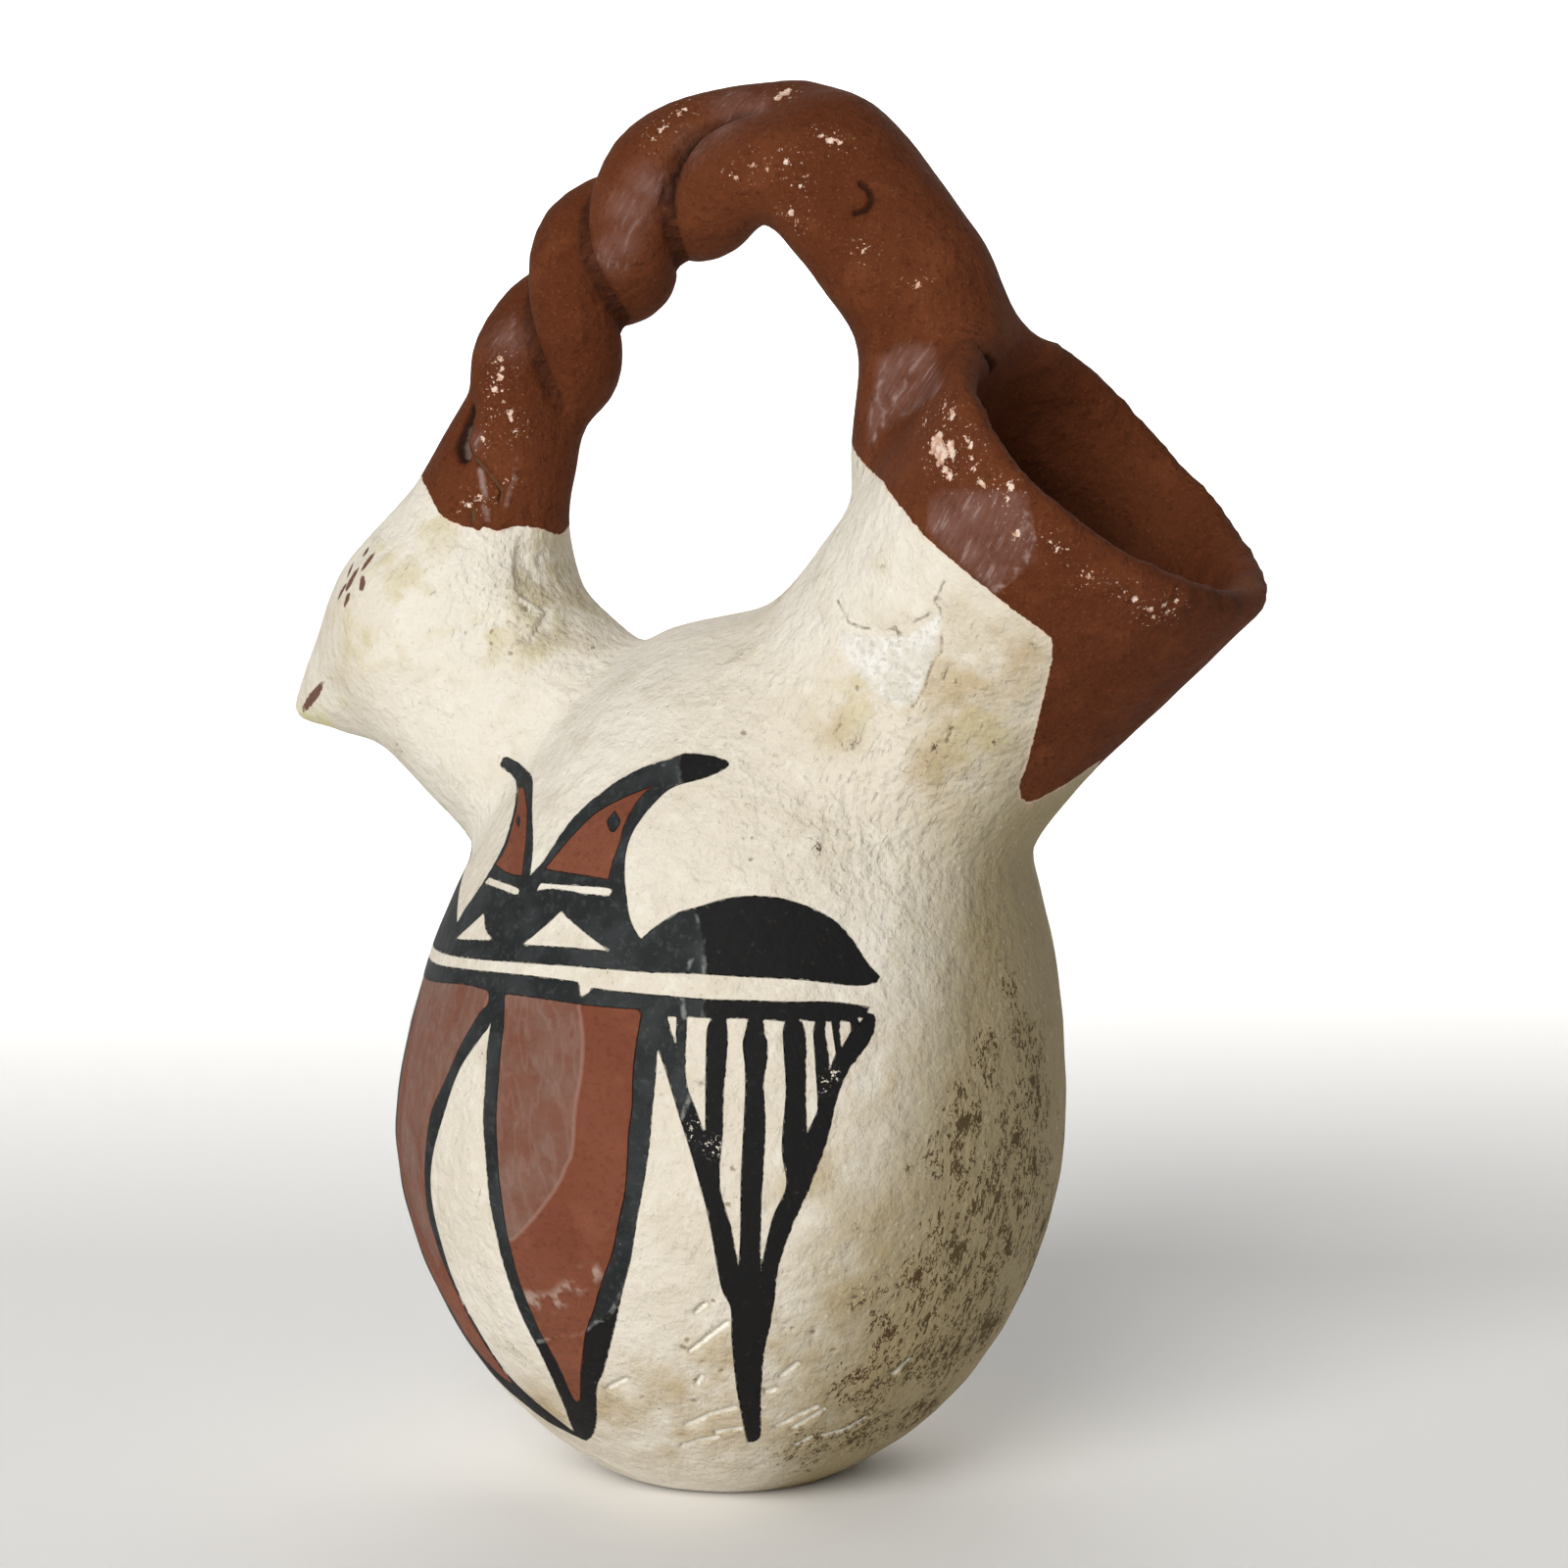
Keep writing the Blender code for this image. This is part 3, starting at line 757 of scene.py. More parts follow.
RIGHT_RED_RIGHT = [
    (98.3, 61.7), (98.2, 58), (98.3, 54.8), (98.8, 50.9), (98.6, 47.9), (98.8, 44.9), (98.6, 41.5),
    (97.4, 38.1), (95.8, 34), (93, 29.8), (91.1, 26.9), (88.3, 23.7), (85.1, 19.1), (80.9, 14.2),
    (79.3, 13.7),
]
RIGHT_RED_LEFT = [
    (79.3, 13.7), (78.9, 14.4), (79.2, 19), (77.6, 23.2), (75.9, 29), (75.5, 33.6), (75.2, 37.1),
    (74.8, 41.3), (74.1, 44.8), (72.9, 49.3), (72.2, 53.8), (71.3, 58.3), (69.7, 61.9),
]
LEAF_REDS = [
    closed(LEFT_RED_TOP, LEFT_RED_RIGHT, LEFT_RED_LEFT),
    closed(RIGHT_RED_TOP, RIGHT_RED_RIGHT, RIGHT_RED_LEFT),
]
print("red leaves:", len(LEAF_REDS))

# %% The red fields of the two horns, and the small dark dot in each
LEFT_HORN_RED = (
    ((38.9, 83.6), (44.3, 83.5), (52.8, 81.6), (58.2, 79), (61.9, 76.1), (63.2, 74.7)),
    ((63.2, 74.7), (57.4, 74.8), (51.5, 75.3)),
    ((51.5, 75.3), (52.1, 77.2), (49.6, 79.9), (45.6, 81.9), (38.9, 83.6)),
)
RIGHT_HORN_RED = (
    ((88.8, 85.6), (86.5, 83.9), (85.6, 81.6), (85.9, 79.3), (85.7, 77.4), (85.9, 75.5)),
    ((85.9, 75.5), (80.3, 75.7), (69.1, 75.9)),
    ((69.1, 75.9), (70.9, 77.7), (73.4, 80), (76.8, 82.4), (82.5, 84.2), (88.8, 85.6)),
)
LEFT_DOT = [(49.5, 81), (52.3, 80.4), (53.1, 79.8), (50.6, 80.3), (49.5, 81)]
RIGHT_DOT = [(81.7, 82.8), (84.2, 81.7), (83.4, 80.5), (80.9, 81.6), (81.7, 82.8)]
HORN_REDS = [closed(*LEFT_HORN_RED), closed(*RIGHT_HORN_RED)]
DOTS = [closed(LEFT_DOT), closed(RIGHT_DOT)]
print("red horns:", len(HORN_REDS))

# %% [markdown]
# ## The same motif on both sides
#
# Only the right side can be seen in the photograph. The left side repeats it, as paired
# figures on such pots do, with the small drift of a second painting. The breast gets a
# plainer striped triangle, and the back under the spout stays bare.

# %% Helpers for noise and for the two sides
DRIFT = 0.9 * MM
DRIFT_SIZE = 20.0 * MM
DRIFT_FROM, DRIFT_FULL = 4.0 * MM, 14.0 * MM


def soft_noise(spots, size, shift=0.0):
    """Smooth noise from about -1 to 1, the same in every run, with features of one size."""
    rows = ((spots + shift) / size).tolist()
    return np.array([noise.noise(row) for row in rows])


def mirrored(spots):
    """Every point brought to the right side, the left side's points with a little drift."""
    folded = spots.copy()
    folded[:, 1] = -np.abs(spots[:, 1])
    left = spots[:, 1] > 0.0
    for axis, shift in ((0, 3.1), (2, 7.7)):
        drift = soft_noise(spots[left], DRIFT_SIZE, shift)
        folded[left, axis] += DRIFT * drift * eased(spots[left, 1], DRIFT_FROM, DRIFT_FULL)
    return folded


def most(*fields):
    return np.maximum.reduce(fields)


print("left side drifts by up to", DRIFT / MM, "mm")

# %% Depths within the black, the bare and the red
BREAST_TURN = 120.5
BREAST_TRIANGLE = closed(TRIANGLE_RIGHT, TRIANGLE_LEFT, [(101.7, 57.9), (103, 61.2), (138.8, 61)])


def painted_fields(spots, outer):
    """How deep each point lies within the ink and within the red, in millimetres."""
    both = mirrored(spots)
    both[~outer] = 1.0
    chart = jar_chart(both)
    breast = spots.copy()
    breast[~outer] = 1.0
    turned = jar_chart(breast) + (BREAST_TURN, 0.0)

    def side(loops):
        return most(*[depth_within(loop, on_jar, chart, both) for loop in loops])

    def front(loops):
        def place(angle, height):
            return on_jar(angle - BREAST_TURN, height)
        return most(*[depth_within(loop, place, turned, breast) for loop in loops])

    black = most(side([HORNS_OUTLINE, LEAVES_OUTLINE]), front([BREAST_TRIANGLE]))
    bare = most(side(BARE_LOOPS + STRIPES), front(STRIPES[1:5]))
    red = np.minimum(side(LEAF_REDS + HORN_REDS), -side(DOTS))
    return np.minimum.reduce((black, -bare, -red)), red


outer = ~hollow(spots)
ink, red = painted_fields(spots, outer)
print("points in ink:", int((ink > 0).sum()), "and in red:", int((red > 0).sum()))

# %% [markdown]
# ## Where the red-brown slip ends
#
# The handle, the mouth's rim and the inside are covered with red-brown slip. Its edge
# was drawn by eye with a full brush: it steps unevenly round the handle's root, runs
# narrow round the back of the spout and drops low under the lip. The edge is a measured
# line on the skin again, and a point is brown or cream by the side it lies on.

# %% The slip's edges
CROWN_EDGE = (
    (-40, 119.8), (-36.4, 117.6), (-33.3, 114.5), (-30.9, 113.5), (-29.1, 113.1), (-28.5, 112.7),
    (-28.2, 113.4), (-26.7, 112.8), (-25.3, 113.2), (-24.3, 113.3), (-23, 112.8), (-22.5, 111.9),
)
RIM_EDGE = (
    (0, 26.5), (5.5, 27.8), (9.6, 29.4), (12.3, 30.6), (16.7, 32), (20, 33), (24, 33.6), (29, 33.4),
    (35.3, 31.6), (37, 30), (46, 24.3), (54, 18.5), (57, 16.1), (62, 13.2), (70, 12.8), (84, 12.4),
    (92, 12.3), (107, 12.4), (119, 12.2), (135, 12.5), (154, 14.4), (162, 14.8), (180, 15),
)
INSIDE_SLIP = 45.0
CROWN_REACH = 12.0
RIM_NEAR = 14.0


def rim_place(angle):
    """The place on the spout's outer face where the rim's slip ends, at an angle round from the lip."""
    depth = np.interp(abs(angle), *zip(*RIM_EDGE)) * MM
    turn = math.radians(angle)
    outward = math.cos(turn) * MOUTH_DOWN + math.sin(turn) * np.array((0.0, -1.0, 0.0))
    middle = MOUTH_MIDDLE - MOUTH_FACING * depth
    return np.array(skin.ray_cast(Vector(middle + outward * 0.04), Vector(-outward))[0])


rim_line = np.array([rim_place(angle) for angle in range(-180, 180)])


def slip_field(spots, inner):
    """How deep each point lies within the red-brown slip, in millimetres."""
    x, z = spots[:, 0] / MM, spots[:, 2] / MM
    crown = np.where(x < CROWN_REACH, z - np.interp(x, *zip(*CROWN_EDGE)), -REACH / MM)
    there = spots - MOUTH_MIDDLE
    angle = np.degrees(np.arctan2(np.abs(there[:, 1]), there @ MOUTH_DOWN))
    below = below_mouth(spots) / MM
    band = np.interp(angle, *zip(*RIM_EDGE)) - below
    near = np.flatnonzero(np.abs(band) < RIM_NEAR)
    gap = np.full(len(spots), REACH / MM)
    gap[near] = gap_to(rim_line, spots[near])
    band = np.where(band > 0.0, gap, -gap)
    outside = most(crown, band)
    return np.clip(np.where(inner, INSIDE_SLIP - below, outside), -REACH / MM, REACH / MM)


slip = slip_field(spots, ~outer)
print("points in red-brown slip:", int((slip > 0).sum()))

# %% [markdown]
# ## Small marks
#
# Brown brush dashes stand for the bird's eye and one stroke for its beak. Age has left cracks, chips,
# pecks, scratches, a fold and a flaked patch, each in its own place. Dark lines along the flaked
# patch's sunk top edge and round each scratch are painted shadow. A mark is stored in the same way as
# the paint, as a distance in millimetres, so that it can both colour the skin and sink it.

# %% Brush marks of the eye and the beak
# Start, end and width of each stroke, in millimetres
BRUSH_MARKS = (
    ((-44.1, -9.4, 110.4), (-44.4, -10.0, 109.6), 0.75),
    ((-42.5, -11.0, 109.7), (-43.4, -11.6, 108.2), 0.95),
    ((-46.3, -9.5, 108.4), (-46.3, -10.4, 107.2), 0.75),
    ((-44.6, -11.1, 107.9), (-45.7, -11.9, 105.5), 1.15),
    ((-43.0, -12.5, 107.0), (-42.7, -13.3, 105.8), 1.00),
    ((-46.2, -11.2, 106.0), (-47.3, -11.2, 104.3), 0.75),
    ((-44.9, -12.5, 105.0), (-45.3, -12.8, 103.7), 0.90),
    ((-51.8, -7.2, 93.4), (-57.4, -2.7, 89.6), 1.25),
)


def lines_gap(lines, spots):
    """Distance from each point to the nearest of several open lines, in millimetres."""
    gap = np.full(len(spots), REACH / MM)
    for line in lines:
        line = np.array(line) * MM
        low, high = line.min(axis=0) - REACH, line.max(axis=0) + REACH
        near = np.flatnonzero(np.all((spots > low) & (spots < high), axis=1))
        gap[near] = np.minimum(gap[near], gap_to(line, spots[near], shut=False))
    return gap


def brush_field(spots):
    """How deep each point lies within a brush mark, pointed at both ends like a grain of rice."""
    both = mirrored(spots) / MM
    depth = np.full(len(spots), -REACH / MM)
    for start, end, width in BRUSH_MARKS:
        start, end = np.array(start), np.array(end)
        length = np.linalg.norm(end - start)
        from_middle = both - (start + end) / 2
        along = from_middle @ (end - start) / length
        across = np.sqrt(np.maximum(0.0, (from_middle ** 2).sum(axis=1) - along ** 2))
        share = np.hypot(along / (length / 2 + width / 3), across / (width / 2))
        depth = np.maximum(depth, np.clip((1.0 - share) * width / 2, -REACH / MM, None))
    return depth


print("brush marks on each side:", len(BRUSH_MARKS))

# %% Cracks, scratches, the flaked patch, the fold, pecks and chips
# Cracks, and along the flaked patch's sunk top edge a line that carries painted shadow
CRACK_AND_SHADOW_LINES = (
    ((22, -18.2, 106.7), (23.2, -19, 105.6), (24.2, -19.8, 104.3), (27.5, -20.9, 103.7),
     (29.5, -21.4, 103.7), (30.8, -21.6, 104.1), (31.1, -21.6, 103.1), (32, -21.9, 103.9),
     (33.5, -22.2, 105), (35.2, -22.5, 105.7)),
    ((37.3, -23.4, 109.6), (36.6, -23.1, 108.3), (35.8, -22.8, 107.1), (36.5, -22.7, 106.5),
     (36.5, -22.6, 105.7), (36.2, -22.4, 104.8)),
    ((36.5, -22, 103.3), (36.4, -21.6, 101.6), (35.2, -21.3, 100.3), (34.4, -21, 98.7),
     (34, -20.7, 97.4), (32.8, -20.3, 95.7), (32.3, -20.2, 95)),
    ((37, -21, 99.7), (36.2, -20.7, 98.4)),
    ((36.3, -18.6, 92.5), (35.6, -18.2, 91)),
    ((23.6, -20.6, 92.9), (22.7, -20.6, 91.7)),
)
ROOT_CRACKS = (
    ((-29.7, -8.5, 121.3), (-28.6, -8.5, 120.3), (-27.4, -8.2, 119), (-26.3, -7.7, 117.5),
     (-26.6, -7.9, 116.1)),
    ((-29.4, -9.2, 115.9), (-29.4, -9.6, 113.8)),
)
ROOT_POCKET = ((-31.3, -6.9, 126.8), (-32.1, -7.2, 124.7), (-32.4, -7.7, 123.1), (-31.5, -8.3, 121.8))
# Slanting strokes of a hard tool on the lower belly
SCRATCHES = (
    ((7.7, -27.7, 11.8), (10.9, -28, 13.4), (13.7, -27.6, 14.4)),
    ((5.8, -25, 8.4), (8.1, -25.5, 9.4), (10.4, -25.2, 10.1)),
    ((11.1, -33.6, 22.2), (13.4, -33.6, 24.1), (15.7, -33.5, 25.9)),
    ((19.5, -27.2, 18.7), (21.4, -26.9, 20.2)),
    ((17.5, -27, 16.5), (18.5, -26.7, 16.9)),
    ((17, -23.1, 11.6), (19.3, -22.7, 13.1), (21.5, -21.9, 14.2)),
    ((18.4, -21.7, 11.4), (20.1, -21.4, 12.5), (21.9, -20.9, 13.7)),
    ((17.4, -19, 8.4), (19.3, -18.7, 9.6)),
    ((20.3, -17.7, 9.7), (22.4, -15.8, 10.2), (24.4, -14.9, 11.5)),
    ((11.8, -18.5, 5), (13.4, -18.6, 5.8)),
    ((10.5, -25.9, 10.8), (13.4, -25.1, 11.4)),
    ((28.6, -16.1, 17.5), (30.2, -15.1, 19.1)),
    ((-0.1, -32.1, 16.4), (2.5, -33, 17.9)),
    ((10.8, -31.1, 17.8), (11.4, -31.6, 18.7)),
    ((12.7, -35.2, 27.2), (13.7, -35.2, 28.2)),
    ((-14, 28, 14), (-11, 29.5, 16)),
    ((9, 30.5, 17), (12, 30.5, 19)),
)
FLAKED_PATCH = [
    (22.4, 104.6), (23.2, 103.6), (24.6, 103.2), (27.5, 103.0), (30, 102.9), (32.4, 103.2),
    (34.1, 104.3), (35.5, 105.3), (36.4, 106.4), (36.7, 104.9), (36, 102.7), (34.9, 99.9),
    (33.8, 97.6), (32.2, 95.3), (30.7, 95), (29, 96.1), (27.2, 97.3), (25.5, 98.6), (24.2, 100.3),
    (23.2, 102.1), (22.4, 104.6),
]
# The curved edge of a nail or a thumb, pressed in below the twist
NAIL_MARK = (
    (20.4, -7.9, 153.8), (21.4, -7.7, 152.9), (21.9, -8.0, 151.7), (21.3, -8.5, 150.6),
    (20.1, -9.0, 150.2),
)
STRAP_CRACK = ((36.4, -10.5, 135.3), (37.0, -9.7, 134.2), (34.5, -2.5, 132.3))
# A fold beside the handle's root: the clay behind it, toward the wall, lies lower
FOLD = (
    (-21.7, -10.6, 99.7), (-21.6, -9.6, 100.9), (-21.3, -8.3, 102.1), (-21.2, -6.7, 103.4),
    (-22.5, -7.3, 104.4), (-23.9, -8, 105.1), (-24.5, -8.2, 106), (-24.9, -7.7, 108.3),
    (-24.9, -7.1, 110.6), (-24.7, -6.4, 112.2),
)
# X, Y, Z and radius of small pecks in the cream slip
PECKS = (
    (14.6, -35.0, 28.6, 0.39), (10.3, -34.1, 22.7, 0.51), (11.0, -34.3, 23.6, 0.39),
    (10.7, -31.4, 18.2, 0.39), (9.6, -30.0, 15.5, 0.43), (10.2, -30.4, 15.0, 0.27),
    (13.8, -31.1, 19.6, 0.35), (12.1, -32.5, 20.8, 0.27), (6.0, -25.3, 8.7, 0.47),
    (17.2, -27.5, 17.0, 0.39), (21.3, -31.0, 27.8, 0.35), (23.4, -29.7, 28.3, 0.27),
    (21.1, -29.8, 25.0, 0.31), (21.8, -29.4, 25.0, 0.31), (23.7, -27.5, 24.3, 0.35),
    (24.9, -24.8, 21.7, 0.39), (26.0, -28.9, 32.1, 0.27), (27.7, -27.3, 31.9, 0.23),
    (27.7, -25.7, 28.3, 0.23), (26.7, -27.5, 29.7, 0.27), (24.3, -22.9, 18.5, 0.23),
    (23.4, -18.5, 13.2, 0.31), (22.8, -15.0, 10.1, 0.35), (17.9, -13.5, 5.4, 0.47),
    (3.8, -31.4, 15.6, 0.27), (4.4, -30.7, 14.7, 0.31), (5.2, -30.0, 14.0, 0.27),
    (-28.6, -13.0, 101.0, 0.35), (-25.5, -12.3, 99.7, 0.31), (-23.1, -11.9, 98.6, 0.35),
    (-23.0, -8.4, 103.7, 0.47), (-24.0, -10.3, 102.1, 0.35), (-25.8, -11.8, 101.1, 0.27),
    (-16.9, -9.6, 96.9, 0.23), (-26.0, -13.9, 94.6, 0.27), (16.1, -27.8, 80.5, 0.31),
    (16.4, -28.9, 78.2, 0.31), (25.6, -20.5, 96.9, 0.35), (19.4, -19.7, 96.6, 0.27),
    (17.7, -36.2, 44.3, 0.35), (17.1, -36.4, 40.2, 0.39), (18.1, -36.0, 41.1, 0.31),
    (12.2, -22, 91.6, 0.39), (36.3, -18.6, 92.5, 0.39), (20.9, -21.2, 89.1, 0.39), (13, 33, 22, 0.39),
    (16, 31, 19, 0.31), (-5, 36, 26, 0.31), (22, 24, 88, 0.35),
)
# X, Y, Z and radius of each chip in the brown slip
CHIPS = (
    (7.7, -1, 164.3, 0.85), (7.2, -1.6, 163.6, 0.6), (-5.7, -4.8, 160.4, 0.45),
    (-6.3, -5.4, 159.6, 0.45), (-7, -5.9, 158.9, 0.4), (-4.1, -3, 162.3, 0.45),
    (-4.7, -3.6, 161.7, 0.35), (16.5, -7.7, 158.6, 0.5), (15.3, -7.6, 158.9, 0.4),
    (17.6, -7.8, 158.5, 0.35), (5.3, -9.3, 154, 0.4), (7.3, -9.5, 155.7, 0.4),
    (9.2, -9.7, 155.2, 0.35), (11.7, -9.5, 156, 0.4), (13.6, -9.8, 153.2, 0.35),
    (12.3, -9.5, 150.1, 0.6), (13, -9.5, 149.3, 0.35), (36, -22.2, 125.5, 0.9),
    (35.3, -21.9, 124.7, 0.9), (35.2, -22, 123.9, 0.7), (36.5, -22.8, 123.9, 1.2),
    (36.7, -23.3, 122.8, 0.8), (37.6, -23.8, 122, 0.65), (38.2, -24.2, 121.3, 0.6),
    (38.1, -23.7, 124.5, 0.85), (38.6, -24.1, 123.5, 0.7), (37.1, -23.3, 123.7, 0.9),
    (36.3, -21, 129.1, 0.5), (37.5, -22.4, 128.2, 0.6), (38, -22.9, 127.7, 0.5),
    (40.5, -24.8, 125.4, 0.45), (41.3, -25.2, 124.5, 0.5), (41.5, -25.3, 123.2, 0.5),
    (41.6, -25.4, 122.1, 0.45), (42.5, -25.7, 120.9, 0.35), (43, -25.7, 120.3, 0.5),
    (44.9, -26, 119.9, 0.35), (46.3, -26.2, 120.2, 0.55), (45.9, -25.9, 118.9, 0.45),
    (46.8, -25.1, 115.2, 0.45), (51.1, -23.9, 113.5, 0.5), (50.4, -24.2, 114.2, 0.3),
    (53.8, -21.5, 110.3, 0.4), (57.1, -18.6, 108.5, 0.5), (57.9, -17.8, 107.6, 0.45),
    (60.4, -14.6, 106.8, 0.55), (59.2, -16, 106, 0.45), (61.2, -13.9, 107.6, 0.4),
    (60.8, -14.2, 105.4, 0.5), (59.6, -15.4, 104.6, 0.4), (-26.4, -7.8, 133.3, 0.55),
    (-26.2, -7.9, 132.2, 0.6), (-26.4, -8.1, 130.9, 0.5), (-26.9, -8.2, 129.6, 0.45),
    (-24.8, -8.3, 127, 0.5), (-25.6, -8.6, 128.1, 0.35), (-24.8, -8.3, 125.9, 0.4),
    (-24.4, -8, 124.5, 0.45), (-27.5, -8.8, 126.3, 0.3), (-28.7, -8.4, 123.7, 0.35),
    (-30.1, -9.5, 115.8, 0.5), (-29.2, -9.1, 116.3, 0.35), (-28.7, -8.8, 116.7, 0.4),
    (-25.9, -7.6, 118.8, 0.3), (32.8, -18.7, 127, 0.4), (30.9, -15.6, 143.5, 0.4),
    (22.1, -12.4, 146.3, 0.3), (2.1, 8.6, 160.2, 0.6), (-21, 7.9, 140.5, 0.55),
    (44, 25.8, 121.5, 0.9), (40.6, 24.6, 124, 0.55), (57.2, 18.4, 109, 0.6), (28, 14, 140, 0.45),
)


def patch_field(spots):
    right = spots.copy()
    right[spots[:, 1] > 0.0] = 1.0
    return depth_within(FLAKED_PATCH, on_side, side_chart(right), right)


def fold_share(spots, outer):
    """1 where the clay lies lower behind the fold, 0 elsewhere."""
    x, y, z = spots.T / MM
    fold_x, _, fold_z = zip(*FOLD)
    behind = np.where(x > np.interp(z, fold_z, fold_x), 1.0, -1.0)
    share = eased(lines_gap((FOLD,), spots) * behind, -0.35, 0.45) * eased(x, -14.0, -20.0)
    return share * eased(z, 97.5, 101.5) * eased(z, 113.0, 110.0) * eased(y, 6.0, 0.0) * outer


def chip_field(spots, places=CHIPS):
    """How deep each point lies within the nearest chip or peck, in millimetres."""
    depth = np.full(len(spots), -REACH / MM)
    for x, y, z, radius in places:
        middle = np.array(skin.find_nearest(Vector((x, y, z)) * MM)[0])
        depth = np.maximum(depth, radius - np.linalg.norm(spots - middle, axis=1) / MM)
    return depth


print("cracks:", len(CRACK_AND_SHADOW_LINES) + len(ROOT_CRACKS), "chips:", len(CHIPS), "pecks:", len(PECKS))

# %% [markdown]
# ## Finer squares only where they show
#
# Two hundred thousand triangles are plenty for one pot if they aren't spread evenly. The
# squares are split once along every edge of paint and round every mark, and again where
# the motif is finest. The depths are then measured afresh for the new points.

# %% Split along the paint's edges and round the marks
PAINT_BAND = 0.65
MARK_BAND = 0.75
FINE_BAND = 0.42
CREASE_BAND = 0.7
CREASE_OPENS = (0.13, 0.215)
CREASE_CLOSES = (0.55, 0.66)
# The finest parts of the motif: degrees from and to, then millimetres up from and to
STRIPES_TOP = (101.0, 140.0, 30.0, 62.5)
HORNS_FOOT = (44.0, 96.0, 66.0, 89.5)


def crease_gap(spots):
    """How far each point of the handle is from the line where its strands meet, in millimetres."""
    along = handle_share(spots)
    on_handle = np.flatnonzero((along > TWIST_SPAN[0]) & (along < TWIST_SPAN[1]))
    gaps = [nearest_on(line, spots[on_handle])[1] for line in strands]
    free = eased(along[on_handle], *CREASE_OPENS) * (1.0 - eased(along[on_handle], *CREASE_CLOSES))
    away = np.full(len(spots), REACH / MM)
    away[on_handle] = np.abs(gaps[0] - gaps[1]) / MM + REACH / MM * (1.0 - free)
    return away


def marks_near(spots):
    """Least distance from each point to the edge of a small mark, in millimetres."""
    single = (ROOT_POCKET, NAIL_MARK, STRAP_CRACK, FOLD)
    lines = lines_gap(CRACK_AND_SHADOW_LINES + ROOT_CRACKS + SCRATCHES + single, spots)
    dots = np.minimum(np.abs(chip_field(spots)), np.abs(chip_field(spots, PECKS)))
    return np.minimum.reduce((np.maximum(0.0, -brush_field(spots)), lines, dots + 0.3))


edge_near = np.minimum(np.abs(ink), np.abs(slip) + 0.1) < PAINT_BAND
patch = patch_field(spots)
spots = split(pot, edge_near | (marks_near(spots) < MARK_BAND) | (patch > -0.3))
outer = ~hollow(spots)
ink, red = painted_fields(spots, outer)
angle, height = jar_chart(mirrored(spots)).T
finest = np.zeros(len(spots), bool)
for first, last, low, high in (STRIPES_TOP, HORNS_FOOT):
    finest |= (angle > first) & (angle < last) & (height > low) & (height < high)
finest &= (np.abs(ink) < FINE_BAND) & outer
spots = split(pot, finest | (marks_near(spots) < FINE_BAND))
spots = split(pot, (brush_field(spots) > -0.25) & ~hollow(spots))
spots = split(pot, crease_gap(spots) < CREASE_BAND)
print("points:", len(spots), "faces:", len(pot.data.polygons))

# %% Measure every field for the final points
inner = hollow(spots)
outer = ~inner
ink, red = painted_fields(spots, outer)
slip = slip_field(spots, inner)
brush = brush_field(spots)
patch = patch_field(spots)
chips = chip_field(spots)
pecks = chip_field(spots, PECKS)
fold = fold_share(spots, outer)
crack_and_shadow_lines = lines_gap(CRACK_AND_SHADOW_LINES, spots)
root_cracks = lines_gap(ROOT_CRACKS, spots)
pocket = lines_gap((ROOT_POCKET,), spots)
scratches = lines_gap(SCRATCHES, spots)
nail = lines_gap((NAIL_MARK, STRAP_CRACK), spots)
from_crease = crease_gap(spots)
triangles = sum(len(face.vertices) - 2 for face in pot.data.polygons)
print("triangles in the skin:", triangles)

# %% [markdown]
# ## Marks of hand and age in the clay
#
# A hand-built pot is never quite even, and its damage is as much its own as its paint.
# Each mark is worked in by moving points along their normals: slow unevenness all over,
# lumps in the spout's throat, deep creases between the strands, an open pocket, cracks and
# a fold at the handle's root, the mark of a nail high on the handle, and shallow losses
# where slip has chipped, been pecked or flaked off.

# %% Dents and hollows in their places
# X, Y, Z, radius and depth of each, in millimetres, and a depth below zero stands out
HOLLOWS = (
    (18.9, -8.2, 153.6, 2.8, 0.60), (-25.6, -12, 100, 3.0, 0.25), (31.5, -17.5, 84.5, 4.5, 0.55),
    (27.9, -21, 76.4, 3.5, 0.35), (34.5, -15, 79, 3.0, 0.40), (24.5, -20.5, 97, 3.0, 0.25),
    (16.3, -22, 89.8, 2.0, 0.25), (39.4, -17.7, 131.1, 2.6, 0.60), (52.9, -22.2, 112.3, 2.2, 0.30),
    (37.2, -11.4, 63.3, 4.0, 0.30), (-20, 12, 96, 4.0, 0.30), (30, 20, 84, 5.0, 0.45),
    (-33, 10, 108, 3.0, 0.30), (-9, 0, 98.5, 7.0, -1.20), (-25.4, -9.6, 106, 3.0, -0.45),
    (-24.6, -10.5, 102, 2.4, -0.35), (-30.7, -11.7, 108.6, 1.8, -0.35),
    (17.6, -22.2, 88.5, 1.8, -0.30), (26.5, -22, 79, 2.2, -0.35), (36, -12, 72, 3.0, -0.30),
    (36.5, -6, 131, 3.5, -0.50), (33, -12, 131.5, 3.0, 0.25), (39, -4, 127, 4.0, 0.50),
    (28, 22, 78, 2.4, -0.35), (-26, 9.5, 105, 3.0, -0.40),
)
# X, Y, Z and reach of the places where the slip is coarser
COARSE_PLACES = (
    (28, -19, 86, 17), (-25, -7, 105, 10), (28, 19, 86, 17), (-25, 8, 105, 10), (26, 0, 108, 14),
    (8, 0, 8, 22), (38, -6, 131, 9),
)


def pressed(spots):
    """How far the hollows lower each point, in millimetres."""
    depth = np.zeros(len(spots))
    for x, y, z, radius, deep in HOLLOWS:
        away = np.linalg.norm(spots / MM - (x, y, z), axis=1)
        depth += deep * np.exp(-(away / radius) ** 2)
    return depth


def soft_places(spots, middles):
    """A share from 0 to 1 round each of several middles, given as x, y, z and radius in millimetres."""
    share = np.zeros(len(spots))
    for x, y, z, radius in middles:
        away = np.linalg.norm(spots / MM - (x, y, z), axis=1)
        share = np.maximum(share, np.exp(-(away / radius) ** 2))
    return share


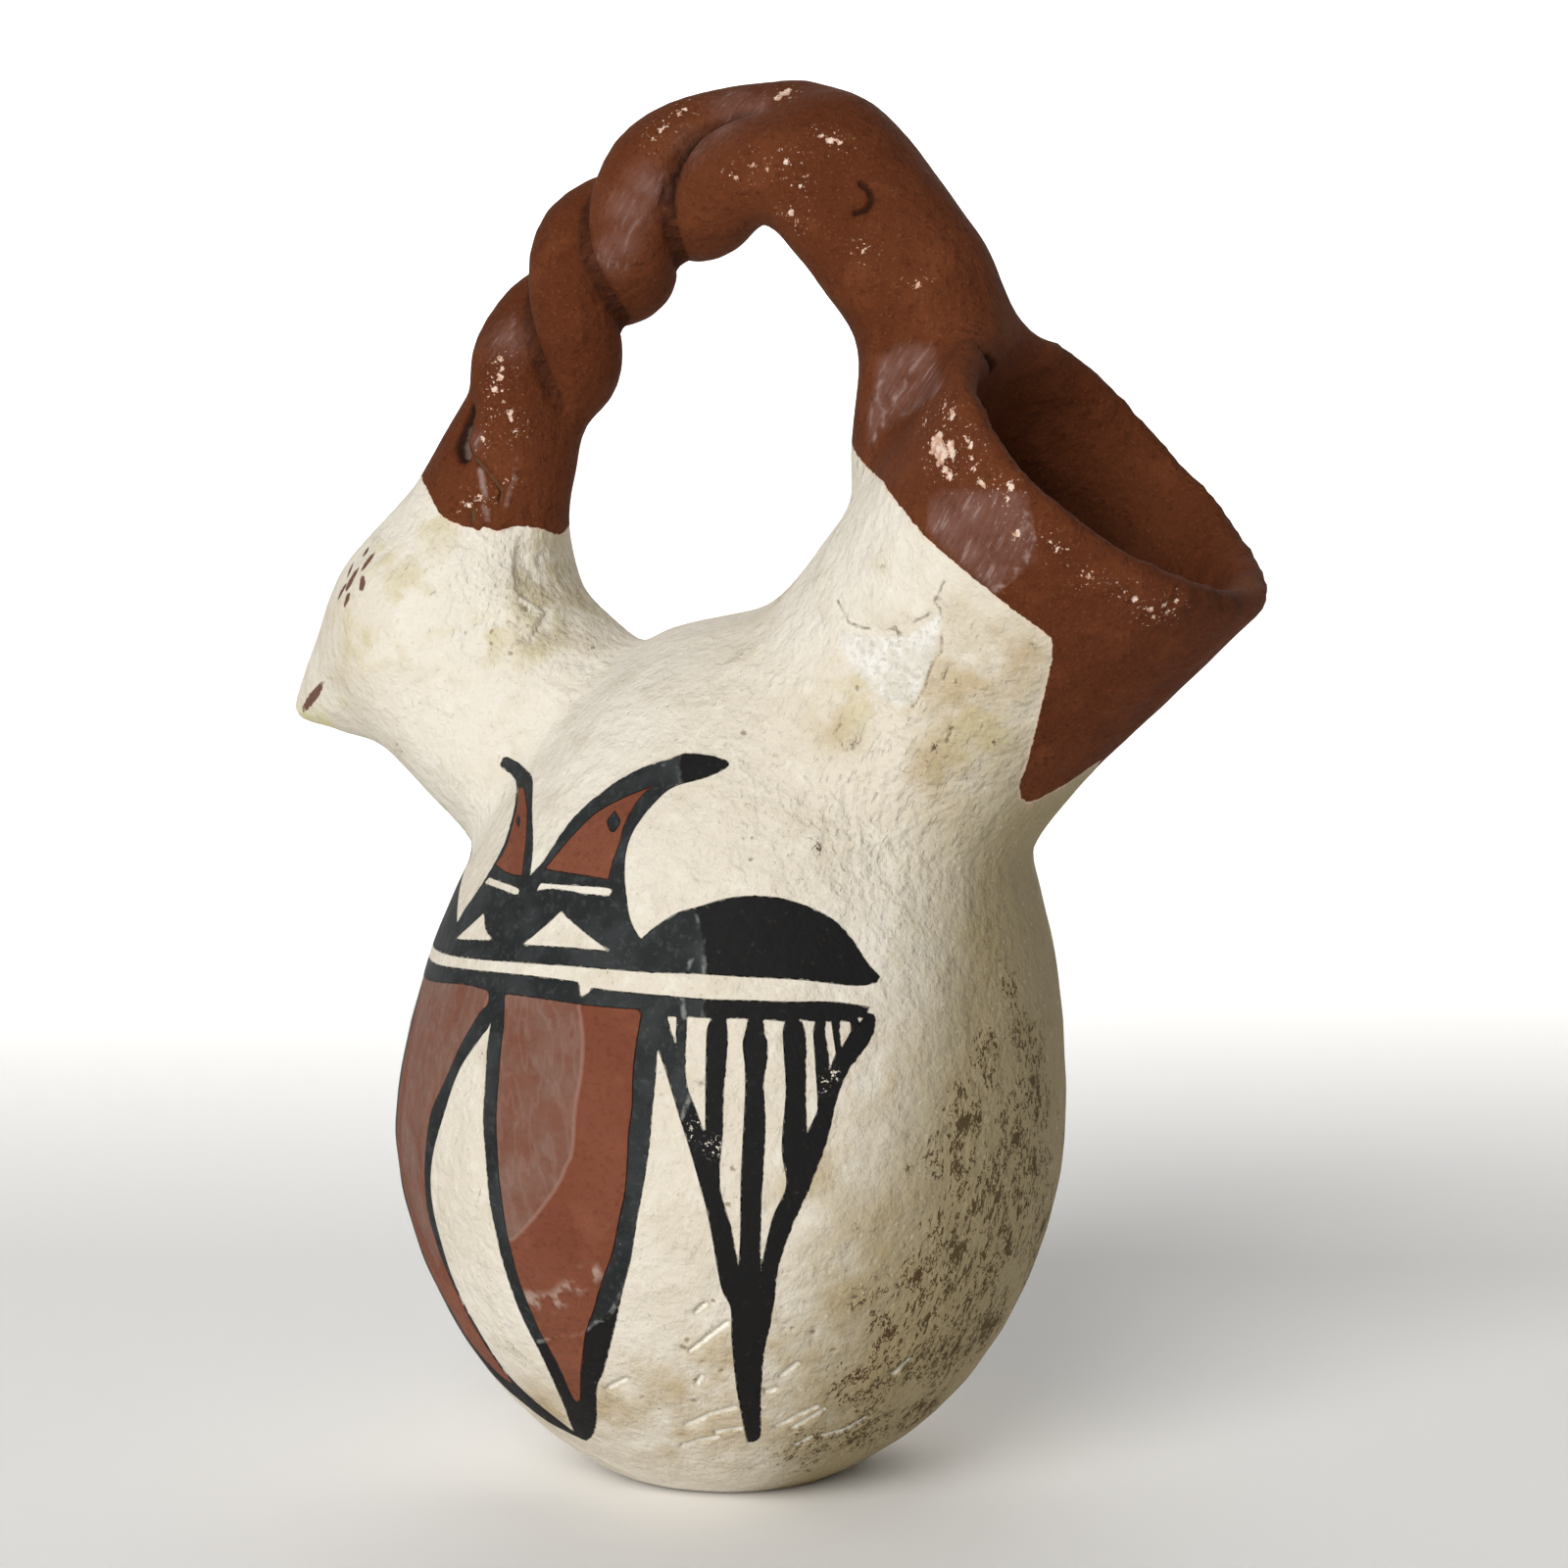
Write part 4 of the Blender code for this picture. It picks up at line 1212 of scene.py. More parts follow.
print("hollows:", len(HOLLOWS), "coarser places:", len(COARSE_PLACES))

# %% Sink and raise the skin
SKIN_SINK = 0.14
SKIN_RISE = -0.03
THROAT_SINK = 0.10
# Height, size and shift of each noise, in millimetres
UNEVEN = ((0.18, 14.0, 1.7), (0.13, 5.0, 4.2))
THROAT_LUMPS = ((0.50, 8.0, 2.9), (0.30, 3.2, 6.1))
# Lines that are pressed in: distance from the line, depth and half width
PRESSED_LINES = (
    (nail, 0.65, 0.38), (pocket, 1.70, 0.95), (root_cracks, 0.55, 0.33), (crack_and_shadow_lines, 0.16, 0.30),
    (scratches, 0.50, 0.36), (from_crease, 0.80, 0.95), (from_crease, 0.30, 0.30),
)
# Slip that is lost: depth within, depth of the loss, its ragged edge's noise, and where it sets in
brown_chips = np.where(slip > 0.0, chips, -REACH / MM)
LOSSES = (
    (pecks, 0.22, (0.35, 0.9, 3.8), -0.15, 0.30), (patch, 0.14, (0.25, 1.6, 5.5), -0.15, 0.15),
    (brown_chips, 0.20, (0.25, 0.8, 8.8), -0.10, 0.25),
)


def bumpy(spots, parts):
    """Several noises in one, each with its height, size and shift."""
    return sum(height * soft_noise(spots, size * MM, shift) for height, size, shift in parts)


normals = vertex_normals(pot)
coarse = soft_places(spots, COARSE_PLACES)
sink = np.maximum(SKIN_SINK - (1.0 + 0.9 * coarse) * bumpy(spots, UNEVEN), SKIN_RISE)
throat = inner & (below_mouth(spots) > 0.5 * MM)
lumps = bumpy(spots, THROAT_LUMPS) * eased(below_mouth(spots), 1.0 * MM, 6.0 * MM)
sink[throat] = THROAT_SINK - lumps[throat]
sink += pressed(spots) + 0.55 * fold
for gap, depth, half_width in PRESSED_LINES:
    sink += depth * np.exp(-(gap / half_width) ** 2)
for within, depth, edge, low, high in LOSSES:
    sink += depth * eased(within + bumpy(spots, (edge,)), low, high)

flat_foot = spots[:, 2] < 0.3 * MM
moved = spots - normals * (sink * MM)[:, None]
moved[:, 2] = np.maximum(moved[:, 2], 0.0)
moved[flat_foot] = spots[flat_foot]
spots = moved
put(pot, spots)

# A wiped rim is soft, so the points along it are relaxed
pairs = edges_of(pot)
RIM_HALF_WIDTH = 1.6 * MM
RIM_REACH = 31.0 * MM
RIM_TURNS = 8
round_rim = np.exp(-(below_mouth(spots) / RIM_HALF_WIDTH) ** 2)[:, None]
round_rim[np.linalg.norm(spots - MOUTH_MIDDLE, axis=1) > RIM_REACH] = 0.0
for turn in range(RIM_TURNS):
    spots = spots + 0.5 * round_rim * (averaged(spots, pairs) - spots)
put(pot, spots)
print("sunk by", round(float(sink.mean()), 2), "mm, at most", round(float(sink.max()), 2), "mm")

# %% [markdown]
# ## Old films, stains and worn places
#
# Paint and slip have aged unevenly. A thin mineral film greys part of the black and the red and ends in
# a fine pale line, handling has worn the side away from the wall, and brown stains have crept in here
# and there. The worn side's darker tint is partly painted shade. These are broad, soft places, so each
# is stored as a share from 0 to 1, or as a depth where it has a real edge.

# %% Edges of the old film
FILM_EDGE = [
    (92.4, 91.1), (93.1, 88.5), (96, 86), (100.6, 80.8), (105.2, 72.8), (108.2, 68.2), (108.2, 66.3),
    (109.1, 61.4), (108.7, 54.4), (106.6, 48.9), (102.4, 42.2), (100.3, 36.5), (98.4, 31.7),
    (94.3, 26.7), (90.9, 25.2), (87, 23.4), (81.8, 22.5), (75.7, 21.4),
]
FILM_STREAKS = (
    ((90.7, 91), (91.4, 88.6)),
    ((88.8, 90.4), (89.6, 88)),
    ((106, 68), (104.6, 64.5), (105.8, 61)),
)
LEAF_FILM_EDGE = [
    (86, 62.3), (88.4, 58.1), (89.1, 54.2), (88.8, 50.4), (89.1, 45.9), (88.1, 43.7), (86.3, 41.1),
    (82.8, 38.1), (78.7, 35.3), (75.4, 33.9),
]
LEFT_LEAF_FILM_EDGE = [(33, 61), (38, 56), (40, 48), (41, 40), (44, 33), (50, 27)]
PALE_SMEARS = [(77.3, 27), (82.3, 27), (85.9, 28.5), (89.7, 30.6), (92.1, 31.5)]
FILM = closed(FILM_EDGE, [(75.7, 21.4), (40, 18), (-10, 18), (-10, 92), (92.4, 91.1)])
LEAF_FILM = closed(LEAF_FILM_EDGE, [(75.4, 33.9), (70, 33), (66, 64), (86, 62.3)])
LEFT_LEAF_FILM = closed(LEFT_LEAF_FILM_EDGE, [(50, 27), (62, 40), (66, 64), (33, 61)])

LEFT_FILM_DROP = 2.5 * MM
folded = mirrored(spots)
folded[:, 2] += LEFT_FILM_DROP * (spots[:, 1] > 0.0)
folded[inner] = 1.0
chart = jar_chart(folded)
film = depth_within(FILM, on_jar, chart, folded)
film_lines = [line_on_jar(run) for run in (smooth_run(FILM_EDGE), *FILM_STREAKS)]
film_line = np.minimum.reduce([gap_to(line, folded, shut=False) for line in film_lines])
leaf_film = depth_within(LEAF_FILM, on_jar, chart, folded)
left_leaf_film = depth_within(LEFT_LEAF_FILM, on_jar, chart, folded)
smears = gap_to(line_on_jar(smooth_run(PALE_SMEARS)), folded, shut=False)
print("points under the film:", int((film > 0).sum()))

# %% Soft places: stains, wear whose tint is partly painted shade, chalky haze
# X, Y, Z and radius of each stain
TAN_STAINS = (
    (40.6, -20.1, 98.9, 7), (44.1, -20.1, 101.2, 5), (37.9, -19.4, 95.5, 7), (34.8, -17.5, 88.5, 6),
    (27.7, -25.5, 27.8, 7), (9.4, -31.1, 16.9, 7), (20.6, -28.7, 22.1, 9), (31.4, -24.7, 53.8, 5),
    (22.9, -20.6, 92.7, 2.5), (-20, 25, 20, 9), (24, 27, 30, 10), (36, 20, 92, 6),
    (-10.8, -26.4, 11.4, 5), (-1.2, -29.9, 13.3, 5), (6.8, -28, 10, 9), (14.3, -30.9, 19.7, 6.5),
    (20.3, -22.7, 13.9, 9), (28, -18, 18.2, 9), (33.7, -14.2, 24.9, 8), (29, -22, 36, 8),
    (24, -30, 44, 5), (0, 29, 13, 10), (22, 22, 16, 9),
)
# Places of wear, whose darker tint on the cream is partly painted shade
WEAR_AND_SHADE_PLACES = (
    (40.2, -2.3, 51.9, 5), (36.8, -16.2, 50.5, 3.2), (37.6, -15, 47, 3.5), (36.6, -17.1, 43.9, 4.5),
    (36.7, -15.7, 36.9, 6), (40.1, -3.5, 40.6, 6), (38.9, -6.3, 34.1, 7), (34.2, -15.4, 27.5, 6),
    (36.5, -12.3, 30.5, 7), (30.2, -14.7, 18.9, 6), (27.3, -4.9, 10.5, 7), (40.4, -1.3, 47.2, 5),
    (34.5, -19.5, 30, 4.5), (33, -2, 21, 8), (38, 7, 30, 7), (35, 12, 40, 5), (20, -18, 7, 5),
    (38.5, -9, 26, 6), (24, -14, 9, 6), (40.4, -6, 62, 3.2), (40.6, -4, 56, 4), (39.6, -8, 45, 5),
    (38, -11.5, 38, 5), (36, -14, 33, 6), (38.7, -12, 55, 3), (31.5, -19, 24, 6), (27, -20, 16, 6),
    (33.5, -9, 18, 7),
)
HAZY_HANDLE = (
    (1.9, -6.1, 160.1, 2.6), (4.2, -3, 161.8, 2.6), (-1.5, -6.5, 158.5, 2.4), (1.1, -1.7, 163.1, 2.2),
    (-11.9, -7.9, 144.9, 2.0), (-8.8, -8.8, 150.5, 2.4), (-6.8, -7.7, 153.4, 2.2),
    (-26, -7.5, 136, 2.5), (-10, -8, 147, 2.0), (-29.9, -8.1, 123.6, 1.0), (10, 8, 156, 4),
)
OLIVE_STAINS = (
    (-25.7, -12, 100.4, 3.0), (-22.6, -8, 103.7, 3.0), (-20.5, -10.6, 98.7, 3.0),
    (-22.5, -1.8, 110.4, 3.2), (-36, -13.5, 106, 4.0), (-31, -12.5, 101, 3.0), (-40, -12, 110, 3.5),
    (-34, -11, 114, 3.0), (26, -20.4, 97, 4.5), (39, -17, 92, 4.0), (-40, 12, 108, 4.0),
    (-25, 11, 102, 4.0), (-48, -9, 93, 3.0), (33, -15, 73, 5.0), (36, -9, 66, 6.0),
    (-44.9, -13.6, 100, 4.2), (-41, -14.9, 99.5, 4), (-46.5, -10.5, 101, 3.6), (-44.5, 13.5, 99, 4),
)
INK_FLECKS = (
    (13.6, -37.7, 49.6, 0.9), (13.3, -37.9, 48.2, 0.8), (15.6, -37.1, 46.8, 1.2),
    (26.9, -29.3, 54.5, 0.9), (26.2, -30.2, 53.4, 1.0), (13.6, 37.7, 48.6, 1.2),
)
BEAK_TINT = ((-57.1, -2.2, 88.2, 1.8), (-54, -3.2, 88, 1.8), (-57, 2, 88.2, 1.8))
SMOKED_PLACES = (
    (62.4, -11.6, 106.6, 2.8), (64, -8, 107.4, 2.8), (61.6, -12.6, 104.6, 2.2),
    (64.4, -4, 107.6, 2.4),
)
tan = soft_places(spots, TAN_STAINS)
smoked = soft_places(spots, SMOKED_PLACES)
ink_flecks = soft_places(spots, INK_FLECKS)
olive = soft_places(spots, OLIVE_STAINS)
wear_and_shade = soft_places(spots, WEAR_AND_SHADE_PLACES)
beak_tint = soft_places(spots, BEAK_TINT)
print("stained points:", int((tan > 0.5).sum()), "worn:", int((wear_and_shade > 0.5).sum()))

# %% Chalky haze on the spout, in two patches with edges, and thin lilac lines
HAZE_UPPER = [
    (23.3, 133.7), (26.8, 135.5), (29.6, 135.3), (31.6, 133), (35, 130.8), (30.5, 128.2), (24.4, 125.8),
    (22.4, 123.4), (21.7, 125.4), (21.9, 127.7), (22.6, 130.4), (23.3, 133.7),
]
HAZE_LOWER = [
    (37.3, 119.7), (42.5, 120), (47.4, 119.8), (48.5, 117), (48.5, 113.8), (46.9, 111.4), (44.7, 109.6),
    (43.2, 108.5), (40.3, 110.6), (37.4, 113.2), (35.4, 115.3), (35.6, 118.3), (37.3, 119.7),
]
LILAC_LINES = (
    ((47.6, -26.1, 119.1), (48.3, -25.6, 117.2), (48.5, -24.7, 114.3), (47.2, -24, 111.8),
     (45, -23.5, 109.8), (43.2, -23.3, 108.6)),
    ((27.2, -9.9, 131.4), (24.9, -10.2, 127.7), (22.8, -9.9, 124.1)),
    ((24.7, -10, 133.2), (23.2, -9.7, 129.9), (22.2, -9.5, 126.5)),
    ((26.4, -10.1, 130.5), (24.2, -10.2, 127.1)),
    ((31.3, -15.3, 129), (26.4, -10.9, 127.2)),
    ((-24.5, -7.5, 121.4), (-25, -7.1, 118.8), (-25.9, -7.5, 115.9)),
    ((-28.9, -8.5, 120.2), (-28.5, -8.6, 117.6), (-27.8, -8.9, 113.9)),
)
right_side = spots.copy()
right_side[(spots[:, 1] > 0.0) | inner] = 1.0
flat = side_chart(right_side)
haze_patch = most(
    depth_within(closed(HAZE_UPPER), on_side, flat, right_side),
    depth_within(closed(HAZE_LOWER), on_side, flat, right_side),
)
haze = np.maximum(soft_places(spots, HAZY_HANDLE) * outer, eased(haze_patch, -0.3, 1.0) * 0.9)
lilac = lines_gap(LILAC_LINES, spots)
print("hazy points:", int((haze > 0.5).sum()))

# %% Small hollows, painted shade on the cream toward the tail, and painted shade deep inside
FLOW_TURNS = 6
pairs = edges_of(pot)
flow = spots.copy()
for turn in range(FLOW_TURNS):
    flow += 0.5 * (averaged(flow, pairs) - flow)
hollowness = np.einsum("ij,ij->i", flow - spots, vertex_normals(pot)) / MM
round_jar = jar_chart(spots)[:, 0] * np.sign(-spots[:, 1])
# The cream is darker toward the tail, partly a duller slip and partly painted shade of the side turned
# from the lamp: millimetres up, and the degrees where that starts and is full
TAIL_SHADE_LEVELS = ((20.0, 112.0, 150.0), (52.0, 130.0, 158.0), (77.0, 140.0, 172.0))
INSIDE_SHADE_DEPTH = 30.0 * MM
levels, starts_at, full_at = zip(*TAIL_SHADE_LEVELS)
height = spots[:, 2] / MM
tail_tint_and_shade = eased(round_jar, np.interp(height, levels, starts_at), np.interp(height, levels, full_at))
tail_tint_and_shade *= 1.0 - 0.8 * eased(height, 80.0, 105.0)
# Painted shade: how deep each inner point lies below the rim, as a share
inside_shade_depth = np.where(inner, np.clip(below_mouth(spots) / INSIDE_SHADE_DEPTH, 0.0, 1.0), 0.0)
lowest, highest = round(float(hollowness.min()), 2), round(float(hollowness.max()), 2)
print("hollowness from", lowest, "to", highest, "mm")

# %% Store the fields on the skin
FIELDS = {
    "ink": ink, "red": red, "slip": slip, "brush": brush, "patch": patch, "chips": chips,
    "crack_and_shadow_lines": np.minimum(crack_and_shadow_lines, root_cracks), "pocket": pocket, "film": film,
    "film_line": film_line, "leaf_film": leaf_film, "left_leaf_film": left_leaf_film,
    "smears": smears, "tan": tan, "wear_and_shade": wear_and_shade, "haze": haze, "from_crease": from_crease,
    "hollowness": hollowness, "tail_tint_and_shade": tail_tint_and_shade, "inside_shade_depth": inside_shade_depth,
    "scratches": scratches, "nail": nail, "olive": olive, "smoked": smoked,
    "ink_flecks": ink_flecks, "coarse": coarse, "lilac": lilac, "beak_tint": beak_tint,
    "pecks": pecks, "fold": fold,
}
for name, values in FIELDS.items():
    layer = pot.data.attributes.new(name, "FLOAT", "POINT")
    layer.data.foreach_set("value", values.astype(np.float32))
print("fields stored:", len(FIELDS))

# %% [markdown]
# ## One material, layer upon layer
#
# The real surface is a stack of thin layers on one body: cream slip, red-brown slip, black and red
# paint, film, stains, and then what is lost again. The material is built in the same order, with
# painted shade and painted highlight laid in among the layers. Each layer is a colour and an amount,
# and the amount comes from a stored field with a little noise added, so that every edge is slightly
# rough, as a brush or a break leaves it.

# %% Helpers for nodes
clay = bpy.data.materials.new("painted_slip_on_clay")
clay.use_nodes = True
tree = clay.node_tree
shader = tree.nodes["Principled BSDF"]
where = tree.nodes.new("ShaderNodeTexCoord").outputs["Object"]


def feed(socket, source):
    """Link a socket to another, or set it to a number or colour."""
    if isinstance(source, bpy.types.NodeSocket):
        tree.links.new(source, socket)
    else:
        socket.default_value = source


def field(name):
    item = tree.nodes.new("ShaderNodeAttribute")
    item.attribute_name = name
    return item.outputs["Fac"]


def sums(operation, *values):
    item = tree.nodes.new("ShaderNodeMath")
    item.operation = operation
    for socket, value in zip(item.inputs, values):
        feed(socket, value)
    return item.outputs[0]


times = partial(sums, "MULTIPLY")
plus = partial(sums, "ADD")
minus = partial(sums, "SUBTRACT")
larger = partial(sums, "MAXIMUM")


def rise(value, low, high):
    """0 where the value is below low, 1 above high."""
    item = tree.nodes.new("ShaderNodeMapRange")
    item.interpolation_type = "SMOOTHSTEP"
    feed(item.inputs["Value"], value)
    item.inputs["From Min"].default_value = low
    item.inputs["From Max"].default_value = high
    return item.outputs["Result"]


def fall(value, low, high):
    """1 where the value is below low, 0 above high."""
    return minus(1.0, rise(value, low, high))


def grain(size, detail=2.0, roughness=0.55, tilt=0.0, stretch=(1.0, 1.0, 1.0), shift=0.0):
    """Noise from 0 to 1 with features of a size in millimetres, stretched along tilted axes."""
    mapping = tree.nodes.new("ShaderNodeMapping")
    mapping.vector_type = "TEXTURE"
    feed(mapping.inputs["Vector"], where)
    mapping.inputs["Location"].default_value = [-shift * share * size * MM for share in (1.0, 0.7, 0.3)]
    mapping.inputs["Rotation"].default_value = (0.0, math.radians(tilt), 0.0)
    mapping.inputs["Scale"].default_value = tuple(size * MM * share for share in stretch)
    item = tree.nodes.new("ShaderNodeTexNoise")
    item.inputs["Scale"].default_value = 1.0
    item.inputs["Detail"].default_value = detail
    item.inputs["Roughness"].default_value = roughness
    feed(item.inputs["Vector"], mapping.outputs["Vector"])
    return item.outputs["Fac"]


def blend(amount, below, above):
    """One colour laid over another by an amount."""
    item = tree.nodes.new("ShaderNodeMix")
    item.data_type = "RGBA"
    feed(item.inputs["Factor"], amount)
    feed(item.inputs["A"], below)
    feed(item.inputs["B"], above)
    return item.outputs["Result"]


def over(below, paint, *amounts):
    """A paint, given by its three numbers or as a socket, laid on by the product of its amounts."""
    above = srgb(*paint) if isinstance(paint, tuple) else paint
    return blend(reduce(times, amounts), below, above)


print("material:", clay.name)

# %% Shared noise
cloud = grain(26.0, 2.0, shift=3.0)
mottle = grain(6.0, 2.0, 0.6, shift=11.0)
patchy = grain(2.6, 2.0, 0.62, shift=19.0)
tooth = grain(0.8, 2.0, 0.6, shift=27.0)
speck = grain(0.36, 1.0, 0.5, shift=35.0)
ragged = times(minus(tooth, 0.5), 0.5)


def edged(value, spread=0.06):
    """A field's own amount, with a slightly rough edge."""
    return rise(plus(value, ragged), -spread, spread)


def near_line(name, core, soft):
    """1 on a line and 0 beyond a soft distance from it, in millimetres."""
    return fall(plus(field(name), ragged), core, soft)


dashes = grain(0.85, 2.0, 0.55, tilt=20.0, stretch=(0.6, 0.6, 2.2), shift=83.0)
print("shared noises: 6")

# %% [markdown]
# ## The cream slip
#
# Cream slip isn't one colour. Firing and age have left broad warm and grey clouds, tan stains, a fine
# dark grit, and a worn side where flakes have gone down to the clay. Painted shade darkens it toward
# the tail, behind the fold and partly on the worn side, and a painted highlight pales its raised lumps.

# %% Cream slip with its clouds and stains, painted shade and painted highlight
cream = blend(rise(cloud, 0.36, 0.62), srgb(230, 223, 209), srgb(222, 213, 196))
cream = over(cream, (206, 195, 172), rise(mottle, 0.5, 0.72), 0.4)
# Paler where the patchy noise is high: partly random tone, partly painted highlight on the raised lumps
# that the same noise gives the bump
cream = over(cream, (238, 232, 219), rise(patchy, 0.53, 0.7), 0.45)
tan_amount = times(field("tan"), rise(mottle, 0.3, 0.62))
cream = over(cream, (188, 166, 126), tan_amount, 0.8)
olive_amount = times(field("olive"), rise(plus(mottle, times(patchy, 0.5)), 0.66, 0.86))
cream = over(cream, (204, 192, 150), olive_amount, 0.72)
# Painted shade on the clay that lies lower behind the fold
fold_shade = times(field("fold"), rise(plus(mottle, patchy), 0.75, 1.15))
cream = over(cream, (186, 174, 142), fold_shade, 0.7)
# Painted shade, with some duller tint, darkens the cream toward the tail
cream = over(cream, (156, 140, 104), field("tail_tint_and_shade"), 0.92)
cream = over(cream, (202, 198, 104), field("beak_tint"), 0.55)
print("cream slip: 8 layers")

# %% Grit: dark specks, paler grains and small pecks
grit = grain(0.75, 3.0, 0.72, tilt=32.0, stretch=(1.0, 1.0, 1.2), shift=51.0)
dark_grit = times(rise(grit, 0.62, 0.69), rise(mottle, 0.4, 0.58))
pecks = times(rise(dashes, 0.675, 0.735), rise(plus(patchy, times(field("coarse"), 0.1)), 0.5, 0.62))
cream = over(cream, (164, 146, 116), dark_grit, 0.38)
cream = over(cream, (240, 235, 224), fall(grit, 0.28, 0.42), 0.3)
cream = over(cream, (134, 118, 90), pecks, 0.52)
placed_pecks = rise(plus(field("pecks"), times(ragged, 2.4)), -0.05, 0.24)
cream = over(cream, (124, 102, 74), placed_pecks, 0.68)
print("grit and pecks: 4 layers")

# %% The worn side, where flakes leave dark squiggles and bare clay
squiggle = grain(1.7, 3.0, 0.66, tilt=14.0, stretch=(1.0, 1.0, 1.7), shift=59.0)
crossing = sums("ABSOLUTE", minus(squiggle, 0.52))
contour = fall(crossing, 0.016, 0.034)
broken = times(contour, rise(tooth, 0.42, 0.5))
worn_mask = rise(plus(times(field("wear_and_shade"), 0.46), mottle), 0.66, 0.76)
bare_clay = rise(plus(times(field("wear_and_shade"), 0.2), squiggle), 0.745, 0.765)
flakes = times(larger(broken, bare_clay), worn_mask)
loose = rise(plus(dashes, times(field("wear_and_shade"), 0.1)), 0.685, 0.715)
flakes = larger(flakes, times(loose, rise(field("wear_and_shade"), 0.05, 0.5)))
worn_clay = blend(rise(cloud, 0.42, 0.58), srgb(80, 64, 40), srgb(78, 46, 28))
# A darker tint on the worn side, partly wear and partly painted shade of the side turned from the lamp
cream = over(cream, (158, 142, 106), rise(field("wear_and_shade"), 0.1, 0.9), 0.5)
cream = over(cream, worn_clay, flakes, 0.92)
print("worn side added")

# %% Tool scratches on the lower belly: a painted shadow round each, and a pale core that is partly fresh slip and partly painted highlight
# Painted shadow along each scratch
cream = over(cream, (150, 130, 98), near_line("scratches", 0.42, 0.8), 0.24)
# The pale core: partly fresh slip, partly painted highlight
scratch_core_and_highlight = near_line("scratches", 0.18, 0.46)
cream = over(cream, (252, 247, 233), scratch_core_and_highlight, 0.95)
print("scratches added")

# %% [markdown]
# ## The red-brown slip
#
# The slip on the handle is an iron-red earth, matt and grainy, darker in its pores and small hollows,
# with painted shade in the crease between the strands and deep in the throat. A chalky lilac haze lies
# on it in a few places, and chips show pale clay.

# %% Red-brown slip
earth = blend(rise(cloud, 0.36, 0.62), srgb(99, 52, 28), srgb(90, 45, 22))
earth = over(earth, (112, 61, 34), rise(mottle, 0.48, 0.72), 0.55)
earth = over(earth, (68, 31, 16), rise(tooth, 0.54, 0.72), 0.5)
earth = over(earth, (54, 25, 14), dark_grit, 0.32)
earth = over(earth, (130, 80, 53), rise(speck, 0.58, 0.74), 0.35)
streaks = grain(4.0, 3.0, 0.62, tilt=33.0, stretch=(0.14, 0.3, 1.0), shift=67.0)
haze_cloud = plus(0.3, times(rise(plus(mottle, streaks), 0.7, 1.3), 0.7))
earth = over(earth, (130, 98, 90), field("haze"), haze_cloud, 0.72)
haze_streaks = times(field("haze"), rise(streaks, 0.56, 0.7))
earth = over(earth, (168, 142, 134), haze_streaks, 0.48)
lilac_line = times(near_line("lilac", 0.02, 0.62), rise(patchy, 0.36, 0.56))
earth = over(earth, (176, 152, 144), lilac_line, 0.58)
smoky = times(field("smoked"), rise(plus(mottle, patchy), 0.7, 1.15))
earth = over(earth, (58, 31, 16), smoky, 0.75)
print("red-brown slip: 9 layers")

# %% Chips, darker hollows and nail mark, painted shade in the crease and deep in the throat
chip_edge = plus(field("chips"), times(minus(grit, 0.5), 2.2))
chip_amount = rise(chip_edge, 0.1, 0.24)
crumbs = grain(0.42, 2.0, 0.6, shift=71.0)
fleck = times(rise(field("chips"), -2.6, -0.2), rise(crumbs, 0.655, 0.685))
chip_amount = larger(chip_amount, fleck)
chip_colour = blend(rise(tooth, 0.4, 0.6), srgb(238, 214, 196), srgb(208, 164, 138))
earth = over(earth, chip_colour, chip_amount, 0.92)
# Darker brown in the small hollows that the smoothing finds, less where there is haze
darker_in_hollows = times(rise(field("hollowness"), 0.06, 0.6), minus(0.7, times(field("haze"), 0.6)))
earth = over(earth, (42, 21, 14), darker_in_hollows)
# Painted shade in the crease between the strands
crease = plus(field("from_crease"), times(ragged, 0.8))
crease_shade = sums("POWER", fall(crease, -0.2, 1.9), 2.2)
earth = over(earth, (28, 12, 7), crease_shade, 0.86)
earth = over(earth, (32, 15, 9), near_line("nail", 0.1, 0.62), 0.82)
# Painted shade, near black, deepening into the jar and the spout
earth = over(earth, (11, 4, 3), rise(field("inside_shade_depth"), 0.16, 0.66), 0.97)
print("chips and dirt: 5 layers")

# %% [markdown]
# ## Black and red paint
#
# The black is a dense, slightly glossier paint. Under the old film it is slate grey, and
# beyond the film's pale line it is deep black. The red is an iron-red slip, clouded pink
# under the film. A few grains of both have gone, so that cream shows through.

# %% Black paint
film_amount = rise(plus(field("film"), times(minus(patchy, 0.5), 1.2)), -0.2, 0.2)
slate = blend(rise(mottle, 0.38, 0.66), srgb(38, 40, 41), srgb(56, 59, 60))
slate = over(slate, (84, 88, 87), rise(tooth, 0.5, 0.72), 0.38)
black = blend(times(film_amount, 0.85), srgb(27, 26, 26), slate)
black = over(black, (88, 84, 78), rise(grit, 0.6, 0.74), 0.22)
pale_line = times(near_line("film_line", 0.06, 0.42), rise(patchy, 0.36, 0.54))
black = over(black, (150, 152, 148), pale_line, 0.62)
print("black paint: 5 layers")

